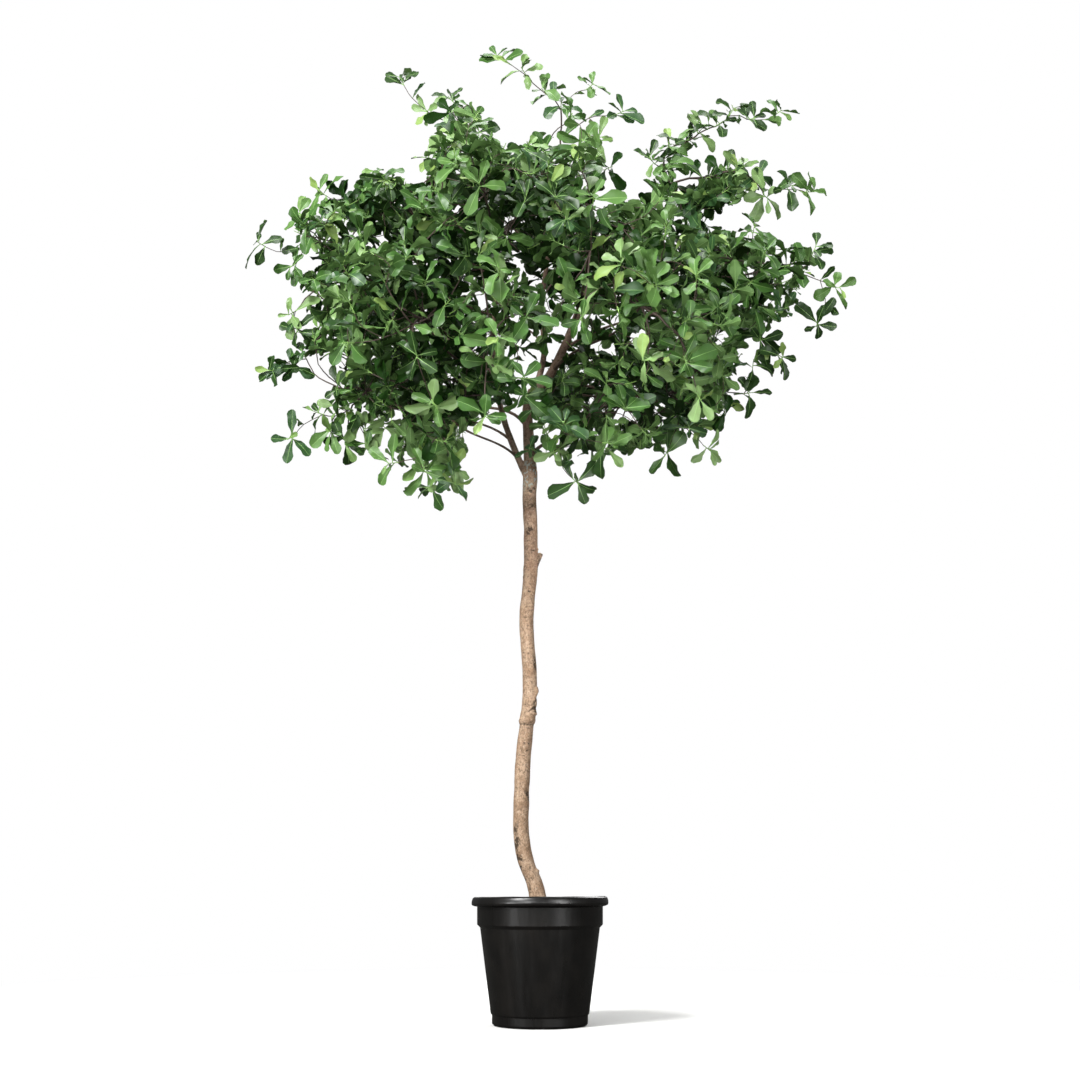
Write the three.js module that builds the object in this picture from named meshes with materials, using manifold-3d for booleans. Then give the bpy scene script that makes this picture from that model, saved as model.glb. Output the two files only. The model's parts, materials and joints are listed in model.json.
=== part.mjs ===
// A potted standard tree: one bare, bent stem carries an open crown of leafy sprays
// and stands in a black plastic nursery pot filled with soil.
// Millimetres, +Z up. The origin is the centre of the pot's flat underside,
// +X is to the right and +Y points away from the viewer.
import * as THREE from 'three';
import { mergeVertices } from 'three/addons/utils/BufferGeometryUtils.js';
import Module from 'manifold-3d';

const wasm = await Module();
wasm.setup();

// The space left between solids that touch.
const CLEARANCE = 0.3;
const UP = new THREE.Vector3(0, 0, 1);

// The pot: outer radii from the foot up, with a wall of even thickness.
const POT = {
  height: 322,
  footRadius: 125,
  footCorner: 7,
  footHeight: 27,
  bodyLowZ: 30,
  bodyLowRadius: 128.5,
  bodyTopRadius: 157.5,
  bandLowZ: 257,
  bandRadius: 165.5,
  stepHeight: 7,
  rimRadius: 180,
  rimDepth: 12,
  rimCorner: 2,
  rimInnerRadius: 164,
  wall: 3,
  floor: 4,
  segments: 32,
};

// The soil: nearly level, a little lower at the wall than round the stem.
const SOIL = { levelZ: 292, levelRadius: 60, edgeDrop: 5 };

// The stem: its centre line from the soil to the upper fork, and its radius at named heights.
const TRUNK = {
  route: [
    [0, 0, 292.3], [-13, 0, 360], [-37, 0, 418], [-50, 2, 495], [-49, 4, 600], [-43, 3, 715],
    [-29, 0, 840], [-28, -2, 925], [-37, -2, 1060], [-26, 0, 1190], [-26, 2, 1320], [-29, 2, 1400],
    [-27, 0, 1480], [-33, 0, 1600], [-34, 0, 1660], [-20, 0, 1708],
  ],
  radii: [
    [292, 27], [312, 23.5], [380, 22], [600, 20.5], [1000, 19], [1440, 19], [1500, 16.5], [1708, 13],
  ],
  sides: 12,
  rings: 26,
  // The swollen ring where a shoot once stopped, and the low swelling of the fork.
  swellings: [{ z: 788, reach: 11, rise: 3.2 }, { z: 1470, reach: 32, rise: 2.4 }],
  // The stub of a cut side shoot and the lip of an old scar, both on the right.
  stub: { foot: [-24, 0, 1215], tip: [6, -4, 1254], footRadius: 13, tipRadius: 5.5 },
  scar: { foot: [-22, -6, 838], tip: [-7, -8, 884], footRadius: 9, tipRadius: 3.5 },
};

// The main boughs: centre lines and the radii at their two ends.
const MAIN_BOUGHS = {
  bough_left: {
    route: [
      [-27, 0, 1440], [-50, -8, 1488], [-77, -20, 1550], [-103, -34, 1627], [-119, -48, 1707],
      [-128, -62, 1807], [-124, -90, 1899], [-116, -135, 1975], [-122, -190, 2030],
    ],
    radii: [12.5, 6],
  },
  bough_right: {
    route: [
      [-24, 0, 1690], [11, 0, 1722], [47, 2, 1785], [84, 5, 1870], [126, 12, 1980],
      [177, 25, 2070], [232, 45, 2150], [290, 70, 2235], [350, 88, 2312],
    ],
    radii: [11.5, 5.5],
  },
  bough_centre: {
    route: [
      [-22, 0, 1696], [-2, 28, 1752], [12, 52, 1840], [4, 78, 1970], [22, 96, 2120], [44, 100, 2275],
    ],
    radii: [10, 5.5],
  },
};

// The masses of foliage. Each fills the ellipsoid of its centre and reach, leaves and all, and sends
// sprigs out to its tips. Its bough leaves the named limb at a share of that limb's length, where a
// share of 1 is the limb's own end.
const MASSES = {
  low_left_front: {
    centre: [-288, -252, 1592], reach: [205, 230, 225], limb: 'bough_left', share: 0.16,
    tips: [[-265, -230, 1335], [-405, -240, 1425]],
  },
  low_left: {
    centre: [-500, -40, 1695], reach: [200, 250, 185], limb: 'bough_left', share: 0.26,
    tips: [[-815, -30, 1748], [-730, 10, 1560], [-535, 0, 1500]],
  },
  low_back_left: {
    centre: [-360, 400, 1815], reach: [260, 265, 220], limb: 'trunk', share: 0.865,
    tips: [[-570, 590, 1800], [-330, 720, 1800]],
  },
  low_right_front: {
    centre: [160, -230, 1590], reach: [195, 230, 210], limb: 'trunk', share: 0.815,
    tips: [[112, -190, 1305], [300, -420, 1530]],
  },
  low_right: {
    centre: [400, 10, 1685], reach: [210, 250, 190], limb: 'bough_right', share: 0.12,
    tips: [[490, 0, 1492], [640, 0, 1700], [330, 20, 1478]],
  },
  low_back_right: {
    centre: [290, 400, 1820], reach: [265, 265, 225], limb: 'trunk', share: 0.93,
    tips: [[430, 640, 1780], [200, 720, 1830]],
  },
  mid_left: {
    centre: [-560, 10, 2040], reach: [205, 285, 225], limb: 'bough_left', share: 0.52,
    tips: [[-838, 20, 2125], [-745, 0, 2270], [-620, 300, 2090]],
  },
  mid_left_front: {
    centre: [-322, -440, 1790], reach: [225, 240, 215], limb: 'bough_left', share: 0.42,
    tips: [[-400, -700, 1810], [-490, -580, 1690]],
  },
  centre_front: {
    centre: [-125, -490, 1730], reach: [150, 210, 185], limb: 'bough_left', share: 0.34,
    tips: [[-110, -720, 1740]],
  },
  mid_right_front: {
    centre: [285, -440, 1815], reach: [210, 240, 210], limb: 'bough_right', share: 0.2,
    tips: [[370, -690, 1810], [450, -530, 1710]],
  },
  mid_right: {
    centre: [590, 40, 2050], reach: [220, 285, 210], limb: 'bough_right', share: 0.3,
    tips: [[880, 10, 2020], [805, 0, 1895], [665, -10, 1770], [700, 290, 2050]],
  },
  mid_back_right: {
    centre: [480, 430, 2120], reach: [270, 280, 240], limb: 'bough_right', share: 0.48,
    tips: [[670, 640, 2160], [430, 740, 2130]],
  },
  mid_back_left: {
    centre: [-335, 440, 2165], reach: [285, 280, 245], limb: 'bough_centre', share: 0.4,
    tips: [[-440, 730, 2160], [-620, 550, 2150]],
  },
  upper_left: {
    centre: [-430, 10, 2290], reach: [235, 275, 190], limb: 'bough_centre', share: 0.5,
    tips: [[-400, 0, 2660], [-655, 0, 2320], [-500, 0, 2430]],
  },
  upper_mid_left: {
    centre: [-235, 140, 2400], reach: [175, 220, 200], limb: 'bough_centre', share: 0.75,
    tips: [[-240, 60, 2610], [-320, 120, 2540]],
  },
  upper_front: {
    centre: [-130, -350, 2130], reach: [215, 260, 215], limb: 'bough_left', share: 1,
    tips: [[-160, -630, 2160], [-50, -460, 2350]],
  },
  upper_centre: {
    centre: [45, 90, 2430], reach: [180, 250, 205], limb: 'bough_centre', share: 1,
    tips: [[-150, 30, 2738], [150, 60, 2640], [245, 80, 2560]],
  },
  upper_right: {
    centre: [510, 100, 2355], reach: [250, 265, 160], limb: 'bough_right', share: 1,
    tips: [[535, 60, 2600], [735, 80, 2570], [835, 90, 2330], [410, 80, 2480], [640, 120, 2400]],
  },
  upper_back: {
    centre: [185, 410, 2300], reach: [270, 265, 230], limb: 'bough_centre', share: 0.62,
    tips: [[200, 710, 2330], [60, 590, 2540]],
  },
  centre_right_front: {
    centre: [145, -400, 2060], reach: [200, 225, 195], limb: 'bough_right', share: 0.38,
    tips: [[150, -640, 2100]],
  },
};

// The bough from a limb to each mass: it enters the mass at a share of the way out to its reach.
const BOUGH = {
  footShare: 0.6,
  tipRadius: 4.6,
  sides: 5,
  rings: 4,
  entry: 0.7,
  entryStep: 0.05,
  bend: 0.32,
  lift: 0.3,
};
const MAIN_SIDES = 7;

// The twigs of a mass, all from one stem. Pull is how much a long way back to the stem counts
// against a twig.
const TWIG = {
  tipRadius: 3,
  flare: 4,
  stem: 45,
  stemRadius: 4.4,
  sides: 3,
  pull: 0.35,
  bow: 0.16,
  join: 2.2,
};

// The buds that twigs grow to. Insets are in leaf lengths, so that leaves fill the mass to its reach.
const BUDS = {
  total: 87,
  fewest: 4,
  tries: 12,
  misses: 4,
  outward: 0.32,
  inset: 0.6,
  tipInset: 0.7,
  edge: 30,
  limbGap: 34,
};

// Each leaf stands for a few real ones, so it is about twice as long as they are.
const LEAF = {
  length: 165,
  width: 90,
  lift: 7.5,
  sunk: 1,
  shoulder: 0.56,
  tipShoulder: 0.87,
  tipWidth: 0.34,
  stalk: 0.16,
  sizes: [1, 0.8, 0.62],
  atEnd: 4,
  atMiddle: 1,
  step: 24,
  upright: 32,
  spread: 50,
  chance: 0.4,
  outward: 0.7,
  upward: 0.45,
  edge: 2.5,
  limbGap: 8,
  twigGap: 2,
};
const GOLDEN_ANGLE = Math.PI * (3 - Math.sqrt(5));
const SEEDS = { first: 101, step: 37, leaves: 7919 };

// Corners that lie closer than this to a straight edge or flat face are taken out of a joined solid.
const FLATNESS = 0.05;

const BARK = { color: 0xc4a383, roughness: 0.85, metalness: 0 };
const LIMB_BARK = { color: 0x8a6a55, roughness: 0.85, metalness: 0 };
const LEAVES = { color: 0x3c6b33, roughness: 0.55, metalness: 0 };
const PLASTIC = { color: 0x1c1b19, roughness: 0.45, metalness: 0 };
const COMPOST = { color: 0x3a2b20, roughness: 0.95, metalness: 0 };

// Random numbers from 0 to 1, the same run for the same seed.
function seededRandom(seed) {
  let state = seed >>> 0;
  return () => {
    state = (Math.imul(state, 1664525) + 1013904223) >>> 0;
    return state / 4294967296;
  };
}

const vector = (point) => new THREE.Vector3(point[0], point[1], point[2]);

// A direction square to another one.
function squareTo(direction) {
  const other = Math.abs(direction.z) < 0.9 ? UP : new THREE.Vector3(1, 0, 0);
  return new THREE.Vector3().crossVectors(direction, other).normalize();
}

function geometryOf(positions, indices) {
  const geometry = new THREE.BufferGeometry();
  geometry.setAttribute('position', new THREE.Float32BufferAttribute(positions, 3));
  geometry.setIndex(indices);
  return geometry;
}

function solidOf(geometry) {
  geometry.deleteAttribute('normal');
  geometry.deleteAttribute('uv');
  const merged = mergeVertices(geometry);
  return new wasm.Manifold(new wasm.Mesh({
    numProp: 3,
    vertProperties: Float32Array.from(merged.attributes.position.array),
    triVerts: Uint32Array.from(merged.index.array),
  }));
}

// The largest connected body of a solid: loose scraps and sealed hollows drop out.
function mainBody(solid) {
  return solid.decompose().reduce((best, body) => (body.volume() > best.volume() ? body : best));
}

function meshOf(name, solid, finish) {
  const { vertProperties, triVerts } = solid.getMesh();
  const mesh = new THREE.Mesh(
    geometryOf(Array.from(vertProperties), Array.from(triVerts)),
    new THREE.MeshStandardMaterial(finish),
  );
  mesh.name = name;
  return mesh;
}

// A closed tube through rings, each with a centre, a direction and a radius.
function tubeSolid(rings, sides) {
  const positions = [];
  const indices = [];
  let side = squareTo(rings[0].direction);
  rings.forEach((ring, level) => {
    side = side.clone().addScaledVector(ring.direction, -side.dot(ring.direction)).normalize();
    const across = new THREE.Vector3().crossVectors(ring.direction, side);
    for (let k = 0; k < sides; k += 1) {
      const angle = (2 * Math.PI * k) / sides;
      const point = ring.centre.clone()
        .addScaledVector(side, ring.radius * Math.cos(angle))
        .addScaledVector(across, ring.radius * Math.sin(angle));
      positions.push(point.x, point.y, point.z);
      if (level > 0) {
        const here = level * sides + k;
        const next = level * sides + ((k + 1) % sides);
        indices.push(here - sides, next - sides, next, here - sides, next, here);
      }
    }
  });
  const last = (rings.length - 1) * sides;
  for (let k = 1; k < sides - 1; k += 1) {
    indices.push(0, k + 1, k, last, last + k, last + k + 1);
  }
  return solidOf(geometryOf(positions, indices));
}

// Straight pieces between the points of a limb or twig, for measuring how near something comes.
function piecesOf(rings) {
  return rings.slice(1).map((ring, i) => ({
    from: rings[i].centre,
    to: ring.centre,
    radius: Math.max(rings[i].radius, ring.radius),
  }));
}

// The least distance between the straight pieces a-b and c-d.
function pieceDistance(a, b, c, d) {
  const u = b.clone().sub(a);
  const v = d.clone().sub(c);
  const w = a.clone().sub(c);
  const uu = u.dot(u);
  const vv = v.dot(v);
  const uv = u.dot(v);
  const uw = u.dot(w);
  const vw = v.dot(w);
  const clamp = THREE.MathUtils.clamp;
  const spread = uu * vv - uv * uv;
  let s = spread > 1e-9 ? clamp((uv * vw - vv * uw) / spread, 0, 1) : 0;
  const t = clamp((uv * s + vw) / vv, 0, 1);
  if (uu > 0) s = clamp((uv * t - uw) / uu, 0, 1);
  return a.clone().addScaledVector(u, s).distanceTo(c.clone().addScaledVector(v, t));
}

function clearOf(pieces, a, b, gap) {
  return pieces.every((piece) => pieceDistance(a, b, piece.from, piece.to) > piece.radius + gap);
}

// The rings of a limb along a curve, with its radius from a function of the share of its length.
function limbRings(curve, count, radiusAt) {
  return Array.from({ length: count + 1 }, (_, i) => ({
    centre: curve.getPoint(i / count),
    direction: curve.getTangent(i / count),
    radius: radiusAt(i / count),
  }));
}

// The same rings a little wider, to cut the seat of a limb that grows out of this one.
function seatRings(rings) {
  const room = 1.5 * CLEARANCE;
  return rings.map((ring, i) => ({
    centre: ring.centre.clone().addScaledVector(ring.direction, i === rings.length - 1 ? room : 0),
    direction: ring.direction,
    radius: ring.radius + room,
  }));
}

// The pot's wall, closed on itself: up the outside and down the inside.
function makePot() {
  const p = POT;
  const bodyTopZ = p.bandLowZ - p.stepHeight;
  const rimLowZ = p.height - p.rimDepth;
  const profile = [
    [0, 0], [p.footRadius - p.footCorner, 0], [p.footRadius, p.footCorner],
    [p.footRadius, p.footHeight], [p.bodyLowRadius, p.bodyLowZ], [p.bodyTopRadius, bodyTopZ],
    [p.bandRadius, p.bandLowZ], [p.bandRadius, rimLowZ], [p.rimRadius, rimLowZ],
    [p.rimRadius, p.height - p.rimCorner], [p.rimRadius - p.rimCorner, p.height],
    [p.rimInnerRadius, p.height], ...potInside().reverse(), [0, p.floor],
  ];
  return latheSolid(profile);
}

// The inside of the pot from the floor up: radius and height.
function potInside() {
  return [
    [POT.footRadius - POT.wall, POT.floor],
    [POT.bodyTopRadius - POT.wall, POT.bandLowZ - POT.stepHeight],
    [POT.bandRadius - POT.wall, POT.bandLowZ],
    [POT.bandRadius - POT.wall, POT.height - POT.rimCorner * 2],
  ];
}

function makeSoil() {
  const gap = 1.4 * CLEARANCE;
  const [low, shoulder, band] = potInside();
  const edgeZ = SOIL.levelZ - SOIL.edgeDrop;
  return latheSolid([
    [0, low[1] + gap], [low[0] - gap, low[1] + gap], [shoulder[0] - gap, shoulder[1]],
    [band[0] - gap, band[1] + gap], [band[0] - gap, edgeZ],
    [SOIL.levelRadius, SOIL.levelZ], [0, SOIL.levelZ],
  ]);
}

function latheSolid(profile) {
  const points = profile.map(([radius, z]) => new THREE.Vector2(radius, z));
  const geometry = new THREE.LatheGeometry(points, POT.segments);
  geometry.rotateX(Math.PI / 2);
  return solidOf(geometry);
}

// A value at z from a table of [z, value] rows.
function interpolate(rows, z) {
  const next = rows.findIndex((row) => row[0] >= z);
  if (next < 0) return rows[rows.length - 1][1];
  if (next === 0) return rows[0][1];
  const [z0, value0] = rows[next - 1];
  const [z1, value1] = rows[next];
  return value0 + ((value1 - value0) * (z - z0)) / (z1 - z0);
}

function trunkRings() {
  const curve = new THREE.CatmullRomCurve3(TRUNK.route.map(vector), false, 'catmullrom', 0.5);
  const rings = limbRings(curve, TRUNK.rings, () => 0);
  rings.forEach((ring) => {
    const z = ring.centre.z;
    ring.radius = interpolate(TRUNK.radii, z);
    TRUNK.swellings.forEach(({ z: middle, reach, rise }) => {
      ring.radius += rise * Math.exp(-(((z - middle) / reach) ** 2));
    });
  });
  rings[0].direction = UP.clone();
  return rings;
}

function makeTrunk(rings) {
  const knobs = [TRUNK.stub, TRUNK.scar].map(({ foot, tip, footRadius, tipRadius }) => {
    const [from, to] = [vector(foot), vector(tip)];
    const direction = to.clone().sub(from).normalize();
    return tubeSolid([
      { centre: from, direction, radius: footRadius },
      { centre: to, direction, radius: tipRadius },
    ], BOUGH.sides);
  });
  return mainBody(wasm.Manifold.union([tubeSolid(rings, TRUNK.sides), ...knobs]).simplify(FLATNESS));
}

function mainBoughRings({ route, radii }) {
  const curve = new THREE.CatmullRomCurve3(route.map(vector), false, 'catmullrom', 0.5);
  const count = 2 * (route.length - 1);
  return limbRings(curve, count, (share) => THREE.MathUtils.lerp(radii[0], radii[1], share));
}

// Whether a point lies in a mass's own space, at least margin from the planes to its neighbours.
function inSpace(point, mass, margin) {
  const own = point.distanceToSquared(mass.middle) - mass.weight;
  return masses.every((other) => {
    if (other === mass) return true;
    const theirs = point.distanceToSquared(other.middle) - other.weight;
    return theirs - own > 2 * margin * mass.middle.distanceTo(other.middle);
  });
}

// The bough of a mass: a curve from its limb to the near side of the mass, or that limb's own end.
function leadIn(mass, limbs) {
  const limb = limbs[mass.limb];
  const tip = limb.rings[limb.rings.length - 1];
  if (mass.share === 1) return { end: tip.centre, heading: tip.direction, rings: null };
  const place = mass.share * (limb.rings.length - 1);
  const ring = limb.rings[Math.floor(place)];
  const after = limb.rings[Math.floor(place) + 1];
  const start = ring.centre.clone().lerp(after.centre, place % 1);
  const outward = start.clone().sub(mass.middle);
  outward.divideScalar(outward.clone().divide(mass.radii).length());
  let depth = BOUGH.entry;
  const end = new THREE.Vector3();
  do {
    end.copy(mass.middle).addScaledVector(outward, depth);
    depth -= BOUGH.entryStep;
  } while (!inSpace(end, mass, LEAF.limbGap) && depth > 0);
  const span = start.distanceTo(end);
  const heading = mass.middle.clone().sub(end).normalize().addScaledVector(UP, BOUGH.lift).normalize();
  const leaving = end.clone().sub(start).normalize().add(ring.direction).normalize();
  const curve = new THREE.CubicBezierCurve3(
    start,
    start.clone().addScaledVector(leaving, BOUGH.bend * span),
    end.clone().addScaledVector(heading, -BOUGH.bend * span),
    end,
  );
  const footRadius = Math.max(ring.radius * BOUGH.footShare, BOUGH.tipRadius);
  const radiusAt = (share) => footRadius + (BOUGH.tipRadius - footRadius) * Math.sqrt(share);
  return { end, heading, rings: limbRings(curve, BOUGH.rings, radiusAt) };
}

// Where a mass's buds sit: its sprig tips first, then points spread through it, thicker outside.
function placeBuds(mass, count, pieces) {
  const random = seededRandom(mass.seed);
  const buds = mass.tips.map((tip) => {
    const inward = mass.middle.clone().sub(vector(tip)).normalize();
    return vector(tip).addScaledVector(inward, BUDS.tipInset * LEAF.length);
  });
  let misses = 0;
  while (buds.length < count && misses < BUDS.misses * count) {
    let best = null;
    let widest = 0;
    for (let i = 0; i < BUDS.tries; i += 1) {
      const height = 2 * random() - 1;
      const turn = 2 * Math.PI * random();
      const out = random() ** BUDS.outward;
      const level = Math.sqrt(1 - height * height);
      const point = new THREE.Vector3(level * Math.cos(turn), level * Math.sin(turn), height)
        .multiplyScalar(out).multiply(mass.radii).add(mass.middle);
      const gap = Math.min(...buds.map((bud) => bud.distanceTo(point)));
      const free = inSpace(point, mass, BUDS.edge) && clearOf(pieces, point, point, BUDS.limbGap);
      if (free && gap > widest) {
        best = point;
        widest = gap;
      }
    }
    if (best) buds.push(best);
    else misses += 1;
  }
  return buds;
}

// Twigs from one stem: each bud joins the twig that gives it the shortest way, in two steps with a bow.
function growTwigs(mass, buds, pieces) {
  const stemTip = mass.start.clone().addScaledVector(mass.heading, TWIG.stem);
  const nodes = [
    { place: mass.start, heading: mass.heading, parent: -1, way: 0 },
    { place: stemTip, heading: mass.heading, parent: 0, way: TWIG.stem },
  ];
  buds.forEach((bud) => {
    const cost = (node) => node.place.distanceTo(bud) + TWIG.pull * node.way;
    const order = nodes.map((_, i) => i).slice(1).sort((a, b) => cost(nodes[a]) - cost(nodes[b]));
    const parent = order.find((i) => {
      const middle = middleOf(nodes[i], bud);
      const steps = [[nodes[i].place, middle], [middle, bud]];
      return inSpace(middle, mass, LEAF.limbGap)
        && steps.every(([from, to]) => clearOf(pieces, from, to, LEAF.limbGap));
    });
    if (parent === undefined) return;
    const from = nodes[parent];
    const middle = middleOf(from, bud);
    const wayMiddle = from.way + from.place.distanceTo(middle);
    nodes.push({
      place: middle, heading: bud.clone().sub(from.place).normalize(), parent, way: wayMiddle,
    });
    nodes.push({
      place: bud,
      heading: bud.clone().sub(middle).normalize(),
      parent: nodes.length - 1,
      way: wayMiddle + middle.distanceTo(bud),
      leafy: true,
    });
  });
  return nodes;
}

function middleOf(node, bud) {
  const bow = TWIG.bow * node.place.distanceTo(bud);
  return node.place.clone().lerp(bud, 0.5).addScaledVector(node.heading, bow);
}

// Twig radii: a twig is as thick as the twigs that it carries together.
function thickenTwigs(nodes) {
  const load = nodes.map((node) => (node.leafy ? TWIG.tipRadius ** TWIG.join : 0));
  for (let i = nodes.length - 1; i > 0; i -= 1) {
    nodes[i].radius = Math.min(load[i] ** (1 / TWIG.join), TWIG.stemRadius);
    load[nodes[i].parent] += load[i];
  }
  nodes[0].radius = TWIG.stemRadius;
}

function twigSolids(nodes) {
  const solids = [];
  const start = nodes[0];
  solids.push(tubeSolid([
    { centre: start.place, direction: start.heading, radius: TWIG.stemRadius },
    { centre: nodes[1].place, direction: start.heading, radius: TWIG.stemRadius },
  ], TWIG.sides));
  for (let i = 3; i < nodes.length; i += 2) {
    const end = nodes[i];
    const middle = nodes[i - 1];
    const from = nodes[middle.parent];
    solids.push(tubeSolid([
      {
        centre: from.place,
        direction: middle.place.clone().sub(from.place).normalize(),
        radius: Math.min(middle.radius, from.radius),
      },
      { centre: middle.place, direction: middle.heading, radius: middle.radius },
      { centre: end.place, direction: end.heading, radius: Math.max(end.radius, TWIG.flare) },
    ], TWIG.sides));
  }
  return solids;
}

// The corners of one leaf: stalk end, tip and two shoulders a side, which stand above the midrib.
function leafCorners(root, along, top, size) {
  const side = new THREE.Vector3().crossVectors(top, along);
  const corner = (share, across, rise) => root.clone()
    .addScaledVector(along, size * LEAF.length * share)
    .addScaledVector(side, size * LEAF.width * across)
    .addScaledVector(top, size * rise);
  return {
    root: root.clone().addScaledVector(along, -LEAF.sunk),
    tip: corner(1, 0, 0),
    near: [0.5, -0.5].map((across) => corner(LEAF.shoulder, across, LEAF.lift)),
    far: [LEAF.tipWidth, -LEAF.tipWidth].map(
      (across) => corner(LEAF.tipShoulder, across, LEAF.lift),
    ),
  };
}

// A leaf of eight faces: four flat ones on top and four that meet in the midrib underneath.
function leafSolid({ root, tip, near, far }) {
  const positions = [root, tip, near[0], far[0], near[1], far[1]].flatMap((point) => point.toArray());
  return solidOf(geometryOf(positions, [
    5, 1, 3, 4, 5, 3, 4, 3, 2, 0, 4, 2,
    1, 2, 3, 1, 0, 2, 1, 4, 0, 1, 5, 4,
  ]));
}

// The lines that stand for a leaf beyond its stalk: its outline and its midrib.
function leafLines({ root, tip, near, far }) {
  const neck = root.clone().lerp(tip, LEAF.stalk);
  return [
    [neck, tip], [neck, near[0]], [near[0], far[0]], [far[0], tip],
    [neck, near[1]], [near[1], far[1]], [far[1], tip], [near[0], near[1]],
  ];
}

function crosses(line, { root, tip, near, far }) {
  const neck = root.clone().lerp(tip, LEAF.stalk);
  const along = line[1].clone().sub(line[0]);
  const ray = new THREE.Ray(line[0], along.clone().normalize());
  const blade = [
    [neck, near[0], near[1]], [near[0], far[0], near[1]],
    [near[1], far[0], far[1]], [far[0], tip, far[1]],
  ];
  return blade.some(([a, b, c]) => {
    const hit = ray.intersectTriangle(a, b, c, false, new THREE.Vector3());
    return hit !== null && hit.distanceTo(line[0]) < along.length();
  });
}

// Whether a leaf stays in its mass's space, off every limb and twig, and out of the leaves already there.
function leafFits(leaf, mass, pieces, leaves) {
  const corners = [leaf.root, leaf.tip, ...leaf.near, ...leaf.far];
  const lines = leafLines(leaf);
  return corners.every((point) => inSpace(point, mass, LEAF.edge))
    && lines.every(([a, b]) => clearOf(pieces, a, b, LEAF.limbGap))
    && lines.every(([a, b]) => clearOf(mass.twigs, a, b, LEAF.twigGap))
    && leaves.every((other) => !lines.some((line) => crosses(line, other))
      && !leafLines(other).some((line) => crosses(line, leaf)));
}

// Leaves round a twig in the golden angle, the lower ones lying flatter than the upper ones.
// One that finds no room is tried smaller, and then its place is left out.
function addLeaves(node, count, mass, pieces, random, leaves) {
  const outward = node.place.clone().sub(mass.middle).divide(mass.radii);
  const axis = node.heading.clone()
    .addScaledVector(outward, LEAF.outward)
    .addScaledVector(UP, LEAF.upward)
    .normalize();
  const level = squareTo(axis);
  const phase = 2 * Math.PI * random();
  const wanted = leaves.length + count;
  for (let k = 0; k < 2 * count && leaves.length < wanted; k += 1) {
    const away = level.clone().applyAxisAngle(axis, phase + k * GOLDEN_ANGLE);
    const down = (k % count) / count;
    const flatness = LEAF.chance * random() + (1 - LEAF.chance) * down;
    const lean = THREE.MathUtils.degToRad(LEAF.upright + LEAF.spread * flatness);
    const along = axis.clone().multiplyScalar(Math.cos(lean)).addScaledVector(away, Math.sin(lean));
    const top = axis.clone().multiplyScalar(Math.sin(lean)).addScaledVector(away, -Math.cos(lean));
    const root = node.place.clone().addScaledVector(node.heading, -LEAF.step * (k % count));
    const leaf = LEAF.sizes.map((size) => leafCorners(root, along, top, size))
      .find((candidate) => leafFits(candidate, mass, pieces, leaves));
    if (leaf) leaves.push(leaf);
  }
}

function makeMass(mass, pieces) {
  const buds = placeBuds(mass, mass.buds, pieces);
  const nodes = growTwigs(mass, buds, pieces);
  thickenTwigs(nodes);
  mass.twigs = nodes.slice(1).map((node) => ({
    from: nodes[node.parent].place, to: node.place, radius: node.radius,
  }));
  const random = seededRandom(mass.seed + SEEDS.leaves);
  const leaves = [];
  nodes.slice(2).forEach((node) => {
    addLeaves(node, node.leafy ? LEAF.atEnd : LEAF.atMiddle, mass, pieces, random, leaves);
  });
  const solids = [...twigSolids(nodes), ...leaves.map(leafSolid)];
  return mainBody(wasm.Manifold.union(solids).simplify(FLATNESS));
}

const masses = Object.entries(MASSES).map(([name, row], i) => ({
  ...row,
  name,
  middle: vector(row.centre),
  radii: vector(row.reach).subScalar(BUDS.inset * LEAF.length),
  volume: row.reach[0] * row.reach[1] * row.reach[2],
  weight: (row.reach[0] * row.reach[1] * row.reach[2]) ** (2 / 3),
  seed: SEEDS.first + SEEDS.step * i,
}));
const crownVolume = masses.reduce((sum, mass) => sum + mass.volume, 0);
masses.forEach((mass) => {
  mass.buds = Math.max(BUDS.fewest, Math.round((BUDS.total * mass.volume) / crownVolume));
});

const model = new THREE.Group();
model.add(meshOf('pot', makePot(), PLASTIC));
model.add(meshOf('soil', makeSoil(), COMPOST));

// Each limb is cut by the seats of those that it grows from, which come before it here.
const limbs = { trunk: { rings: trunkRings(), carriers: [] } };
Object.entries(MAIN_BOUGHS).forEach(([name, row]) => {
  limbs[name] = { rings: mainBoughRings(row), carriers: Object.keys(limbs) };
});
masses.forEach((mass) => {
  const { end, heading, rings } = leadIn(mass, limbs);
  mass.heading = heading;
  mass.start = end.clone().addScaledVector(heading, CLEARANCE);
  if (rings) limbs[`bough_${mass.name}`] = { rings, carriers: ['trunk', ...Object.keys(MAIN_BOUGHS)] };
});
model.add(meshOf('trunk', makeTrunk(limbs.trunk.rings), BARK));
Object.entries(limbs).slice(1).forEach(([name, { rings, carriers }]) => {
  const sides = name in MAIN_BOUGHS ? MAIN_SIDES : BOUGH.sides;
  const seats = carriers.map((carrier) => {
    const carrierSides = carrier === 'trunk' ? TRUNK.sides : MAIN_SIDES;
    return tubeSolid(seatRings(limbs[carrier].rings), carrierSides);
  });
  const limb = tubeSolid(rings, sides).subtract(wasm.Manifold.union(seats));
  model.add(meshOf(name, mainBody(limb.simplify(FLATNESS)), LIMB_BARK));
});

const limbPieces = Object.values(limbs).flatMap(({ rings }) => piecesOf(rings));
masses.forEach((mass) => {
  model.add(meshOf(`foliage_${mass.name}`, makeMass(mass, limbPieces), LEAVES));
});

export default model;
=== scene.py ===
import json
import math
import bpy
import numpy as np
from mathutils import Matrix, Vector, noise

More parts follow.
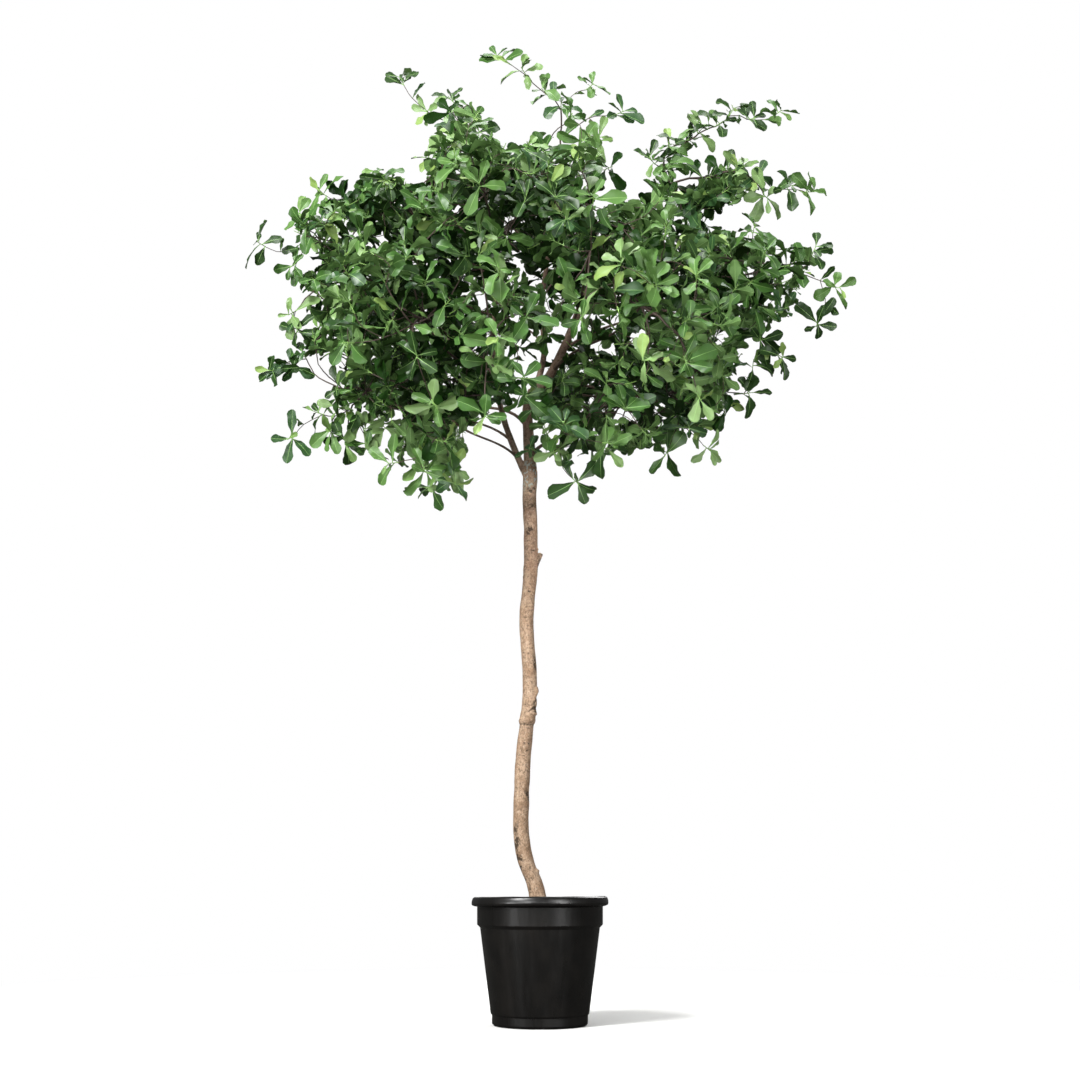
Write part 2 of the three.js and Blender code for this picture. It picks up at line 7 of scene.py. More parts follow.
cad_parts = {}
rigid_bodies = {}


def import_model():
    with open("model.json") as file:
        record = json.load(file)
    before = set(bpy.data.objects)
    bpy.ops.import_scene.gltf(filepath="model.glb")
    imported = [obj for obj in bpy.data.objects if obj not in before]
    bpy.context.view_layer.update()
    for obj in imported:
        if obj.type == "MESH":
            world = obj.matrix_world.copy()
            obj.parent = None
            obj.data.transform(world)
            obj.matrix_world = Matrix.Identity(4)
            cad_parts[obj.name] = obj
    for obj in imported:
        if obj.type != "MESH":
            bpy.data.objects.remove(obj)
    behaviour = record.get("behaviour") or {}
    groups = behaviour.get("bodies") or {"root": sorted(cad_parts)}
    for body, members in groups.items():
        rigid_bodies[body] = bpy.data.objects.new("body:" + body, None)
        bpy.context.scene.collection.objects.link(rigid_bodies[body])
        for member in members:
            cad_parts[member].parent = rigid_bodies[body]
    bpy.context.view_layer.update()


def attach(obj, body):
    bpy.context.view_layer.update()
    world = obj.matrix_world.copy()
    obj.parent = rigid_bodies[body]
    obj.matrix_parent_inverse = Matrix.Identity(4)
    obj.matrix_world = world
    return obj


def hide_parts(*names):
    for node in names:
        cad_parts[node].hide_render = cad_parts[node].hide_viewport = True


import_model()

# A standard tree in its nursery pot: a bare bent stem with an open crown of leafy sprays.
# Sizes are in millimetres, like the solids' own, and each mesh is made in metres.
mm = 0.001
goldenAngle = math.pi * (3 - math.sqrt(5))


# Colours and nodes

def linearColour(hexText):
    channels = [int(hexText[i:i + 2], 16) / 255 for i in (1, 3, 5)]
    return [c / 12.92 if c <= 0.04045 else ((c + 0.055) / 1.055) ** 2.4 for c in channels] + [1]


def addNode(tree, kind, settings=None, links=None):
    node = tree.nodes.new(kind)
    for name, value in (settings or {}).items():
        if isinstance(name, str) and hasattr(node, name):
            setattr(node, name, value)
        else:
            node.inputs[name].default_value = value
    for name, source in (links or {}).items():
        tree.links.new(source, node.inputs[name])
    return node


def layColours(tree, colour, layers):
    # Lays each colour over those before it: the source that it follows, from where to where on it, how
    # much of it at most, and the colour.
    for source, low, high, most, over in layers:
        settings = {"From Min": low, "From Max": high, "To Max": most}
        share = addNode(tree, "ShaderNodeMapRange", settings, {"Value": source})
        mix = addNode(tree, "ShaderNodeMix", {"data_type": "RGBA"}, {0: share.outputs[0]})
        for socket, value in ((6, colour), (7, over)):
            if isinstance(value, str):
                mix.inputs[socket].default_value = linearColour(value)
            else:
                tree.links.new(value, mix.inputs[socket])
        colour = mix.outputs[2]
    return colour


def newMaterial(name, colour, **settings):
    material = bpy.data.materials.new(name)
    material.use_nodes = True
    shader = material.node_tree.nodes["Principled BSDF"]
    shader.inputs["Base Color"].default_value = linearColour(colour)
    for socket, value in settings.items():
        shader.inputs[socket.replace("_", " ")].default_value = value
    return material, material.node_tree, shader


# Meshes

def deselectAll():
    if bpy.context.mode != "OBJECT":
        bpy.ops.object.mode_set(mode="OBJECT")
    bpy.ops.object.select_all(action="DESELECT")


def pick(piece):
    deselectAll()
    piece.select_set(True)
    bpy.context.view_layer.objects.active = piece


def meshFromArrays(name, points, faces, materials, faceMaterials=None):
    mesh = bpy.data.meshes.new(name)
    mesh.from_pydata((np.asarray(points) * mm).tolist(), [], faces)
    piece = bpy.data.objects.new(name, mesh)
    bpy.context.scene.collection.objects.link(piece)
    for material in materials:
        mesh.materials.append(material)
    if faceMaterials is not None:
        mesh.polygons.foreach_set("material_index", faceMaterials)
    mesh.update()
    return piece


def startEditing():
    bpy.ops.object.mode_set(mode="EDIT")
    bpy.ops.mesh.select_all(action="SELECT")


def stopEditing():
    # All faces are turned outward before the mesh is left.
    bpy.ops.mesh.select_all(action="SELECT")
    bpy.ops.mesh.normals_make_consistent(inside=False)
    bpy.ops.object.mode_set(mode="OBJECT")


def extrudeAlong(spots, radii, sides):
    # A filled circle, extruded ring by ring from spot to spot.
    deselectAll()
    bpy.ops.mesh.primitive_circle_add(
        vertices=sides, radius=radii[0] * mm, fill_type="NGON", location=spots[0] * mm)
    piece = bpy.context.object
    bpy.ops.object.transform_apply(location=True)
    startEditing()
    for i in range(1, len(spots)):
        bpy.ops.mesh.extrude_region_move(
            TRANSFORM_OT_translate={"value": (spots[i] - spots[i - 1]) * mm})
        grow = radii[i] / radii[i - 1]
        bpy.ops.transform.resize(value=(grow, grow, 1), center_override=spots[i] * mm)
    stopEditing()
    return piece


def applyModifier(piece, kind, **settings):
    pick(piece)
    modifier = piece.modifiers.new(kind.title(), kind)
    for name, value in settings.items():
        setattr(modifier, name, value)
    bpy.ops.object.modifier_apply(modifier=modifier.name)


def smoothByAngle(piece, degrees):
    pick(piece)
    bpy.ops.object.shade_smooth_by_angle(angle=math.radians(degrees))


def keepPiece(piece, slot, *nodes):
    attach(piece, "root")
    if nodes:
        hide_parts(*nodes)


def pointsOf(piece):
    points = np.empty(len(piece.data.vertices) * 3)
    piece.data.vertices.foreach_get("co", points)
    return points.reshape(-1, 3) / mm


def setPoints(piece, points):
    piece.data.vertices.foreach_set("co", (points * mm).ravel())
    piece.data.update()


def normalsOf(piece):
    normals = np.empty(len(piece.data.vertices) * 3)
    piece.data.vertex_normals.foreach_get("vector", normals)
    return normals.reshape(-1, 3)


def noiseAt(points, size, stretch=(1, 1, 1), shift=0):
    scale = np.array([1 / (size * s) for s in stretch])
    return np.array([noise.noise(p) for p in (points * scale + shift).tolist()])


def setAttribute(piece, name, values):
    attribute = piece.data.attributes.new(name, "FLOAT", "POINT")
    attribute.data.foreach_set("value", np.clip(values, 0, 1).astype(np.float32))


# The camera stands where the photographer's did: low down, tilted up, with the pot's rim just below it.

view = dict(
    place=(0, -4.745, 0.43),  # metres
    tilt=10.19,               # degrees above the horizon
    lens=58.86,               # for a square frame on a 36 mm sensor
)


def makeCamera():
    deselectAll()
    turn = (math.radians(90 + view["tilt"]), 0, 0)
    bpy.ops.object.camera_add(location=view["place"], rotation=turn)
    camera = bpy.context.object
    camera.data.lens = view["lens"]
    camera.data.sensor_width = 36
    bpy.context.scene.camera = camera


# The pot

pot = dict(
    sides=160,
    # Radius and height up the outside, over the rolled rim and down the inside.
    outside=[
        (120, 0), (125, 6), (125, 27), (128.5, 30.5), (157.3, 249), (165.2, 257), (165.5, 303.5),
        (172.5, 304.5), (179, 307), (180.3, 311), (179.8, 318), (177.4, 325), (173, 328.2), (168, 327.6),
    ],
    inside=[(162.5, 319), (162.5, 256), (154.5, 249), (122, 5)],
    edgeRadius=1.1,
    edgeAngle=18,         # edges sharper than this are rounded
    rimFrom=(300, 10),    # the warp of the thin rim starts at this height and is whole this far above it
    rimTilt=(1.1, -3.4),  # it stands this much higher at the right and lower at the back
    rimWave=0.5,
    plastic="#171614", clean="#0e0d0c", dusty="#181614",
    # Scale and detail of each pattern. The streaks are drawn out down the wall.
    patterns=dict(grain=(420, 3), streaks=(60, 4), dust=(16, 5)),
    drawn=(1, 1, 0.06),
    gloss=(0.26, 0.36),
)


def potMaterial():
    # Black polypropylene, injection moulded: satin, with the fine grain of the tool and a little dust.
    material, tree, shader = newMaterial("blackPolypropylene", pot["plastic"], IOR=1.49)
    place = addNode(tree, "ShaderNodeTexCoord").outputs["Object"]
    drawn = addNode(tree, "ShaderNodeMapping", {"Scale": pot["drawn"]}, {"Vector": place}).outputs[0]
    grain, streaks, dust = (
        addNode(
            tree, "ShaderNodeTexNoise", {"Scale": scale, "Detail": detail},
            {"Vector": drawn if key == "streaks" else place},
        ).outputs[0]
        for key, (scale, detail) in pot["patterns"].items())
    colour = layColours(tree, pot["clean"], [(dust, 0.45, 0.8, 1, pot["dusty"])])
    tree.links.new(colour, shader.inputs["Base Color"])
    low, high = pot["gloss"]
    gloss = addNode(
        tree, "ShaderNodeMapRange", {"From Min": 0.3, "From Max": 0.7, "To Min": low, "To Max": high},
        {"Value": streaks},
    )
    tree.links.new(gloss.outputs[0], shader.inputs["Roughness"])
    bump = addNode(tree, "ShaderNodeBump", {"Strength": 0.12, "Distance": 0.4 * mm}, {"Height": grain})
    wave = addNode(
        tree, "ShaderNodeBump", {"Strength": 0.1, "Distance": 2 * mm},
        {"Height": streaks, "Normal": bump.outputs[0]},
    )
    tree.links.new(wave.outputs[0], shader.inputs["Normal"])
    return material


def makePot():
    rows = pot["outside"] + pot["inside"]
    spots = np.array([(0, 0, height) for _, height in rows], float)
    piece = extrudeAlong(spots, [radius for radius, _ in rows], pot["sides"])
    piece.name = "potShell"
    applyModifier(
        piece, "BEVEL", width=pot["edgeRadius"] * mm, segments=3, limit_method="ANGLE",
        angle_limit=math.radians(pot["edgeAngle"]), use_clamp_overlap=True,
    )
    points = pointsOf(piece)
    angle = np.arctan2(points[:, 1], points[:, 0])
    lift = np.clip((points[:, 2] - pot["rimFrom"][0]) / pot["rimFrom"][1], 0, 1)
    waves = np.sin(3 * angle + 0.7) + 0.6 * np.sin(7 * angle) + 0.4 * np.sin(12 * angle + 2)
    tilt = pot["rimTilt"][0] * np.cos(angle) + pot["rimTilt"][1] * np.sin(angle)
    points[:, 2] += lift * (tilt + pot["rimWave"] * waves)
    setPoints(piece, points)
    piece.data.materials.append(potMaterial())
    smoothByAngle(piece, 35)
    keepPiece(piece, "pot_plastic", "pot")
    print("pot", len(piece.data.polygons), "faces")


# The soil

soil = dict(
    level=292, edgeRadius=161.6, depth=60, sides=144, span=36,
    edgeDrop=5, flatRadius=60,    # it falls this much to the wall, from this far out
    footShare=0.93,       # the pot narrows below its band
    lumps=2.6,            # height of the lumps
    lumpSizes=[(1, 22, 0), (0.5, 8, 7), (0.3, 3.5, 3)],    # share, size and shift
    fibres=180, bits=240,    # scales of the patterns
    crumbs=900, crumbSize=(1.4, 5.2), crumbSeed=5, crumbInset=8,    # the inset is from the wall
)


def soilMaterial():
    # Moist potting compost: dark peat with paler bark fines, without any shine, and nearly black in the
    # hollows of its bump, which is painted shade.
    material, tree, shader = newMaterial("pottingCompost", "#2d2118", Roughness=0.95)
    place = addNode(tree, "ShaderNodeTexCoord").outputs["Object"]
    settings = {"Scale": soil["fibres"], "Detail": 6, "Roughness": 0.7}
    fibres = addNode(tree, "ShaderNodeTexNoise", settings, {"Vector": place}).outputs[0]
    bits = addNode(tree, "ShaderNodeTexVoronoi", {"Scale": soil["bits"]}, {"Vector": place})
    # The fibres that raise the bump also lighten the colour, so the hollows carry painted shade.
    colour = layColours(tree, "#1b130d", [
        (fibres, 0, 1, 1, "#4a3626"),
        (bits.outputs[1], 0.78, 0.95, 1, "#6b5340"),
    ])
    tree.links.new(colour, shader.inputs["Base Color"])
    bump = addNode(tree, "ShaderNodeBump", {"Strength": 0.6, "Distance": 1.5 * mm}, {"Height": fibres})
    tree.links.new(bump.outputs[0], shader.inputs["Normal"])
    return material


def soilHeight(x, y):
    radius = np.hypot(x, y)
    fall = np.clip((radius - soil["flatRadius"]) / (soil["edgeRadius"] - soil["flatRadius"]), 0, 1)
    spots = np.stack([x, y, np.zeros_like(x)], 1)
    lumps = sum(share * noiseAt(spots, size, shift=shift) for share, size, shift in soil["lumpSizes"])
    return soil["level"] - soil["edgeDrop"] * fall + soil["lumps"] * lumps


def makeSoil():
    deselectAll()
    bpy.ops.mesh.primitive_circle_add(
        vertices=soil["sides"], radius=soil["edgeRadius"] * mm, location=(0, 0, soil["level"] * mm))
    piece = bpy.context.object
    piece.name = "soilBed"
    startEditing()
    bpy.ops.mesh.fill_grid(span=soil["span"])
    bpy.ops.mesh.select_all(action="SELECT")
    bpy.ops.mesh.extrude_region_move(TRANSFORM_OT_translate={"value": (0, 0, -soil["depth"] * mm)})
    stopEditing()
    applyModifier(piece, "SUBSURF", subdivision_type="SIMPLE", levels=1, render_levels=1)
    points = pointsOf(piece)
    top = points[:, 2] > soil["level"] - 1
    points[top, 2] = soilHeight(points[top, 0], points[top, 1])
    low = points[:, 2] < soil["level"] - soil["depth"] + 1
    points[low, :2] *= soil["footShare"]
    setPoints(piece, points)
    material = soilMaterial()
    piece.data.materials.append(material)
    smoothByAngle(piece, 50)
    keepPiece(piece, "potting_soil", "soil")
    makeCrumbs(material)
    print("soil", len(piece.data.polygons), "faces")


def makeCrumbs(material):
    random = np.random.default_rng(soil["crumbSeed"])
    deselectAll()
    bpy.ops.mesh.primitive_ico_sphere_add(subdivisions=1, radius=1)
    ball = bpy.context.object
    base = np.array([v.co for v in ball.data.vertices])
    baseFaces = [list(p.vertices) for p in ball.data.polygons]
    bpy.data.objects.remove(ball)
    points, faces = [], []
    for _ in range(soil["crumbs"]):
        turn = random.uniform(0, 2 * math.pi)
        reach = (soil["edgeRadius"] - soil["crumbInset"]) * math.sqrt(random.uniform(0.03, 1))
        x, y = reach * math.cos(turn), reach * math.sin(turn)
        size = random.uniform(*soil["crumbSize"]) * random.uniform(0.4, 1)
        lump = base * random.uniform(0.6, 1.2, base.shape) * size * np.array([1.3, 0.9, 0.7])
        spin = random.uniform(0, 2 * math.pi)
        across = lump[:, 0] * math.cos(spin) - lump[:, 1] * math.sin(spin)
        along = lump[:, 0] * math.sin(spin) + lump[:, 1] * math.cos(spin)
        height = soilHeight(np.array([x]), np.array([y]))[0] + 0.3 * size
        start = len(points) * len(base)
        points.append(np.stack([across + x, along + y, lump[:, 2] + height], 1))
        faces += [[start + i for i in face] for face in baseFaces]
    piece = meshFromArrays("soilCrumbs", np.concatenate(points), faces, [material])
    smoothByAngle(piece, 40)
    keepPiece(piece, "potting_soil")


# Curves and tubes for the limbs and twigs

def curveThrough(points):
    points = [np.array(p, float) for p in points]
    points = [2 * points[0] - points[1]] + points + [2 * points[-1] - points[-2]]

    def at(share):
        place = min(max(share, 0), 1) * (len(points) - 3)
        first = min(int(place), len(points) - 4)
        w = place - first
        a, b, c, d = points[first:first + 4]
        return b + 0.5 * w * (c - a + w * (2 * a - 5 * b + 4 * c - d + w * (3 * (b - c) + d - a)))
    return at


def bezier(start, first, second, end):
    def at(share):
        rest = 1 - share
        return (rest ** 3 * start + 3 * rest * rest * share * first
                + 3 * rest * share * share * second + share ** 3 * end)
    return at


def unit(vector):
    return vector / np.linalg.norm(vector)


def ringsAlong(at, count, radiusAt):
    rings = []
    for i in range(count + 1):
        share = i / count
        direction = unit(at(min(share + 0.0001, 1)) - at(max(share - 0.0001, 0)))
        rings.append(dict(centre=at(share), direction=direction, radius=radiusAt(share)))
    return rings


def squareTo(direction):
    other = np.array([0, 0, 1.0]) if abs(direction[2]) < 0.9 else np.array([1.0, 0, 0])
    return unit(np.cross(direction, other))


def tube(rings, sides):
    side = squareTo(rings[0]["direction"])
    angles = 2 * math.pi * np.arange(sides) / sides
    points, faces = [], []
    for level, ring in enumerate(rings):
        side = unit(side - side.dot(ring["direction"]) * ring["direction"])
        across = np.cross(ring["direction"], side)
        turned = np.outer(np.cos(angles), side) + np.outer(np.sin(angles), across)
        points.append(ring["centre"] + ring["radius"] * turned)
        if level:
            for k in range(sides):
                here, beside = level * sides + k, level * sides + (k + 1) % sides
                faces.append([here - sides, beside - sides, beside, here])
    last = (len(rings) - 1) * sides
    faces.append(list(range(sides))[::-1])
    faces.append([last + k for k in range(sides)])
    return np.concatenate(points), faces


def joinTubes(tubes):
    points, faces = [], []
    start = 0
    for tubePoints, tubeFaces in tubes:
        points.append(tubePoints)
        faces += [[start + i for i in face] for face in tubeFaces]
        start += len(tubePoints)
    return np.concatenate(points), faces


# The stem and the main boughs: one piece of wood

stem = dict(
    route=[
        (0, 0, 285), (0, 0, 292.3), (-13, 0, 360), (-37, 0, 418), (-50, 2, 495), (-49, 4, 600),
        (-43, 3, 715), (-29, 0, 840), (-28, -2, 925), (-37, -2, 1060), (-26, 0, 1190), (-26, 2, 1320),
        (-29, 2, 1400), (-27, 0, 1480), (-33, 0, 1600), (-34, 0, 1660), (-20, 0, 1708),
    ],
    radii=[(285, 28), (292, 27), (312, 23.5), (380, 22), (600, 20.5), (1000, 19), (1440, 19),
           (1500, 16.5), (1708, 13)],    # height and radius
    # Middle height, reach and rise.
    swellings=[(789, 5, 2.6), (800, 16, 1.2), (775, 6, -0.9), (1470, 32, 2.4), (1202, 16, 0.8),
               (640, 22, 0.7), (1085, 26, 0.8)],
    rings=260, sides=30, boughRings=60, boughSides=20, knobSides=18,
    growthRings=26,    # from which the boughs to the masses leave
    # Foot, tip and the radius at each, of the cut stub and its lip, the lip of the scar and a boss.
    knobs=[
        ((-27, -2, 1196), (4, -8, 1245), 15, 6.2),
        ((-20, -4, 1234), (-6, -8, 1259), 8, 4.2),
        ((-20, -7, 806), (-10, -9, 881), 12, 5.8),
        ((-22, -2, 372), (-8, -5, 400), 15, 8),
    ],
    voxel=2.1,
    top=1690, marksTop=1440,    # where the trunk ends, and the marks on its front
    brownFrom=1400, brownOver=220, lichenAt=1462, lichenReach=46,
)

mainBoughs = dict(
    bough_left=dict(
        route=[
            (-27, 0, 1440), (-50, -8, 1488), (-77, -20, 1550), (-103, -34, 1627), (-119, -48, 1707),
            (-128, -62, 1807), (-124, -90, 1899), (-116, -135, 1975), (-122, -190, 2030),
        ],
        radii=(10.2, 5.5),
    ),
    bough_right=dict(
        route=[
            (-24, 0, 1690), (11, 0, 1722), (47, 2, 1785), (84, 5, 1870), (126, 12, 1980),
            (177, 25, 2070), (232, 45, 2150), (290, 70, 2235), (350, 88, 2312),
        ],
        radii=(14.5, 4.8),
    ),
    bough_centre=dict(
        route=[
            (-22, 0, 1696), (-2, 28, 1752), (12, 52, 1840), (4, 78, 1970), (22, 96, 2120), (44, 100, 2275),
        ],
        radii=(10, 5.5),
    ),
)

# Marks on the bark, and painted shade under the cut stub and in the hollow of the old scar: x and height
# on the front of the stem, half width and half height, how far it stands out, and how dark it is.
barkMarksAndShade = [
    (-28, 1309, 8, 6, -0.7, 1),
    (-33, 1298, 4.5, 4.5, -1.4, 1.1),
    (-19, 1251, 7, 2.4, -0.8, 0.6),
    # These two are painted shadow on the underside and right side of the cut stub.
    (5, 1247, 5, 6, -0.6, 0.9),
    (1, 1220, 9, 14, 0, 0.75),
    (-28, 1139, 4.4, 3.4, -0.8, 0.9),
    (-42, 1202, 5, 10, 1.6, 0.4),
    (-44, 1180, 4, 5, 1, 0.2),
    (-25, 1417, 5, 5, -1.4, 0.95),
    (-16, 1424, 3, 3, -1, 0.9),
    (-27, 1376, 30, 15, 0, 0.3),
    (-27, 1350, 30, 8, 0.3, -0.3),
    (-32, 970, 2.6, 2.6, -0.9, 0.9),
    (-30, 988, 13, 11, 1, -0.3),
    (-14, 942, 3.6, 20, -1.2, 0.85),
    (-6, 850, 7, 14, -1.6, 0.35),
    (-2, 879, 4.4, 3.4, -0.8, 0.8),
    # These two darken the sunken hollow of the old scar with painted shade.
    (-9, 823, 7, 10, -2.6, 0.35),
    (-14, 824, 7, 5, -2.6, 1.1),
    (-12, 815, 6, 4, -0.8, 0.7),
    (-34, 796, 12, 7, 0.3, -0.35),
    (-49, 715, 2.6, 1.8, -0.7, 0.9),
    (-35, 710, 3, 2.2, -0.7, 1),
    (-30, 728, 2.2, 1.6, -0.5, 0.7),
    (-38, 686, 3, 1.6, -0.4, 0.6),
    (-33, 597, 4.4, 5.5, -0.9, 1.3),
    (-30, 583, 2.6, 5, -0.5, 1),
    (-62, 467, 6, 17, -0.6, 0.85),
    (-65, 505, 5, 12, -0.5, 0.85),
    (-57, 429, 7, 9, -0.8, 1),
    (-49, 424, 4, 3, -0.5, 0.9),
    (-52, 403, 6, 6, -0.5, 0.8),
    (-24, 374, 26, 12, 0, 0.14),
]

# Raised lips round the old scar, and hairlines: from and to on the front, width, rise and darkness.
barkLines = [
    ((-1, 877), (-24, 834), 2.6, 2.4, -0.3),
    ((3, 868), (-17, 832), 2, -1.8, 0.75),
    ((-15, 830), (-36, 815), 2.2, 2.2, -0.2),
    ((-11, 826), (-16, 830), 2, 1.6, 0.2),
    ((-15, 826), (-32, 812), 1.3, -1.2, 0.6),
    ((-59, 699), (-36, 695), 1, -0.5, 0.75),
    ((-66, 358), (-36, 372), 1.2, -0.6, 0.8),
    ((-52, 1351), (-6, 1348), 1, -0.3, 0.35),
]

# Creases round the stem: height, width, rise and darkness.
barkRings = [
    (780, 1.8, -1.2, 0.6),
    (771, 6, 0, 0.22),
    (560, 0.9, -0.3, 0.3),
    (1068, 0.9, -0.3, 0.3),
    (340, 1.4, -0.4, 0.3),
    (662, 0.8, -0.3, 0.25),
]

pores = dict(
    seed=17, count=90, heights=(330, 1420), width=(1.2, 3.2), tall=(0.9, 1.6), share=(0.3, 1), dark=0.6,
    stemRadius=20,
)


def stemRadius(height):
    radius = np.interp(height, *zip(*stem["radii"]))
    for middle, reach, rise in stem["swellings"]:
        radius = radius + rise * np.exp(-((height - middle) / reach) ** 2)
    return radius


def stemRings():
    rings = ringsAlong(curveThrough(stem["route"][1:]), stem["growthRings"], lambda share: 0)
    for ring in rings:
        ring["radius"] = stemRadius(ring["centre"][2])
    rings[0]["direction"] = np.array([0, 0, 1.0])
    return rings


def makeTrunk():
    at = curveThrough(stem["route"])
    spots = [at(i / stem["rings"]) for i in range(stem["rings"] + 1)]
    return extrudeAlong(spots, [stemRadius(spot[2]) for spot in spots], stem["sides"])


def boughRings(row, count):
    foot, tip = row["radii"]
    return ringsAlong(curveThrough(row["route"]), count, lambda share: foot + (tip - foot) * share)


def makeKnob(foot, tip, footRadius, tipRadius):
    way = Vector(tip) - Vector(foot)
    deselectAll()
    bpy.ops.mesh.primitive_cone_add(
        vertices=stem["knobSides"], radius1=footRadius * mm, radius2=tipRadius * mm, depth=way.length * mm,
        location=(Vector(foot) + way / 2) * mm, rotation=way.to_track_quat("Z", "Y").to_euler())
    knob = bpy.context.object
    bpy.ops.object.transform_apply(location=True, rotation=True)
    return knob


def reliefOfBark(piece):
    # Moves the surface in and out and notes where the bark is dark, lichened or already limb bark.
    points, normals = pointsOf(piece), normalsOf(piece)
    x, y, z = points.T
    line = np.array([curveThrough(stem["route"])(i / 400) for i in range(401)])
    centreX, centreY = np.interp(z, line[:, 2], line[:, 0]), np.interp(z, line[:, 2], line[:, 1])
    onTrunk = (np.hypot(x - centreX, y - centreY) < 1.25 * stemRadius(z) + 2) & (z < stem["top"])
    around = np.stack([x - centreX, y - centreY, z], 1)
    rise = 1.0 * noiseAt(points, 46) + 0.55 * noiseAt(points, 17, (1, 1, 2), 5)
    rise += 0.42 * noiseAt(around, 5.5, (1, 1, 5), 11) + 0.3 * noiseAt(around, 4, (2.2, 2.2, 0.7), 23)
    dark = 0.5 * np.clip(-noiseAt(around, 6, (1, 1, 3), 31) - 0.1, 0, 1)
    dark += 0.7 * np.clip(noiseAt(points, 60, (1, 1, 1.6), 41) - 0.15, 0, 1)
    dark += 0.5 * np.clip(noiseAt(points, 11, shift=47) - 0.2, 0, 1)
    front = (z < stem["marksTop"]) & (y < centreY + 3)
    broken = np.clip(1 + 2.4 * noiseAt(points, 4.5, shift=71), 0.2, 1.8)
    for markX, markZ, width, height, markRise, markDark in barkMarksAndShade:
        near = np.exp(-(((x - markX) / width) ** 2 + ((z - markZ) / height) ** 2)) * front
        rise += markRise * near
        dark += markDark * near * broken
    for (x0, z0), (x1, z1), width, lineRise, lineDark in barkLines:
        span = (x1 - x0) ** 2 + (z1 - z0) ** 2
        share = np.clip(((x - x0) * (x1 - x0) + (z - z0) * (z1 - z0)) / span, 0, 1)
        gap = np.hypot(x - x0 - share * (x1 - x0), z - z0 - share * (z1 - z0))
        near = np.exp(-(gap / width) ** 2) * front
        rise += lineRise * near
        dark += lineDark * near
    wander = 2.5 * noiseAt(around, 16, (1, 1, 4), 53)
    for height, width, ringRise, ringDark in barkRings:
        near = np.exp(-((z - height - wander) / width) ** 2) * onTrunk
        rise += ringRise * near
        dark += ringDark * near
    dark += darkPores(around, onTrunk)
    limb = np.clip((z - stem["brownFrom"]) / stem["brownOver"], 0, 0.75) + 0.35 * ~onTrunk
    patches = np.clip(4 * noiseAt(around, 5.5, (1, 1, 1.4), 61) - 0.1, 0, 1)
    lichen = np.exp(-((z - stem["lichenAt"]) / stem["lichenReach"]) ** 2) * patches * onTrunk
    setPoints(piece, points + normals * rise[:, None])
    setAttribute(piece, "dark", dark)
    setAttribute(piece, "limb", limb)
    setAttribute(piece, "lichen", lichen)


def darkPores(around, onTrunk):
    # Short dark cork pores all round the stem.
    random = np.random.default_rng(pores["seed"])
    angle = np.arctan2(around[:, 1], around[:, 0])
    found = np.zeros(len(around))
    for _ in range(pores["count"]):
        turn, height = random.uniform(-math.pi, math.pi), random.uniform(*pores["heights"])
        width, tall = random.uniform(*pores["width"]), random.uniform(*pores["tall"])
        away = (angle - turn + math.pi) % (2 * math.pi) - math.pi
        near = (away * pores["stemRadius"] / width) ** 2 + ((around[:, 2] - height) / tall) ** 2
        found += np.exp(-near) * random.uniform(*pores["share"])
    return pores["dark"] * found * onTrunk


bark = dict(
    # Scale, detail and roughness of each pattern. Threads and speckle are coarser than real ones, so
    # that they show, and the threads run lengthwise.
    patterns=dict(
        clouds=(34, 6, 0.5), mottle=(110, 5, 0.7), threads=(420, 5, 0.65), speckle=(210, 4, 0.7)),
    lengthwise=(1, 1, 0.22),
    # Pale, warm and deep, and the pale and deep of the brown that it turns to higher up.
    young=("#ac937b", "#8f745c", "#5f4c3b", "#8c7665", "#655447"),
    limb=("#6f5d50", "#5f5045", "#3d3229", "#6f5d50", "#54463d"),
    palest="#c5b4a0", lichen="#a3b0a9", marks="#3a2f24",
    speckleOnMarks=1.1,
)


def barkMaterial(name, colours):
    # Smooth young bark: matt, tan, with fine grey-brown lengthwise threads, dark pores and creases.
    pale, warm, deep, limbPale, limbDeep = colours
    material, tree, shader = newMaterial(name, pale, Roughness=0.82, Specular_IOR_Level=0.25)
    place = addNode(tree, "ShaderNodeTexCoord").outputs["Object"]
    drawn = addNode(tree, "ShaderNodeMapping", {"Scale": bark["lengthwise"]}, {"Vector": place}).outputs[0]
    clouds, mottle, threads, speckle = (
        addNode(
            tree, "ShaderNodeTexNoise", {"Scale": scale, "Detail": detail, "Roughness": rough},
            {"Vector": drawn if key == "threads" else place},
        ).outputs[0]
        for key, (scale, detail, rough) in bark["patterns"].items())
    dark, limb, lichen = (
        addNode(tree, "ShaderNodeAttribute", {"attribute_name": key}).outputs["Fac"]
        for key in ("dark", "limb", "lichen"))
    # The speckle breaks up the edges of the dark marks.
    broken = addNode(
        tree, "ShaderNodeMath", {"operation": "MULTIPLY_ADD", 1: bark["speckleOnMarks"]},
        {0: speckle, 2: dark},
    )
    colour = layColours(tree, pale, [
        (clouds, 0.38, 0.62, 1, warm),
        (mottle, 0.54, 0.68, 0.6, bark["palest"]),
        (mottle, 0.47, 0.34, 0.6, deep),
        (limb, 0, 1, 1, layColours(tree, limbPale, [(clouds, 0.35, 0.65, 1, limbDeep)])),
        (threads, 0.48, 0.68, 0.65, deep),
        (speckle, 0.52, 0.64, 0.8, deep),
        (lichen, 0.25, 0.75, 0.75, bark["lichen"]),
        (broken.outputs[0], 0.68, 1.25, 0.95, bark["marks"]),
    ])
    tree.links.new(colour, shader.inputs["Base Color"])
    fine = addNode(tree, "ShaderNodeBump", {"Strength": 0.5, "Distance": 0.9 * mm}, {"Height": threads})
    rough = addNode(
        tree, "ShaderNodeBump", {"Strength": 0.4, "Distance": 0.6 * mm},
        {"Height": speckle, "Normal": fine.outputs[0]},
    )
    tree.links.new(rough.outputs[0], shader.inputs["Normal"])
    return material


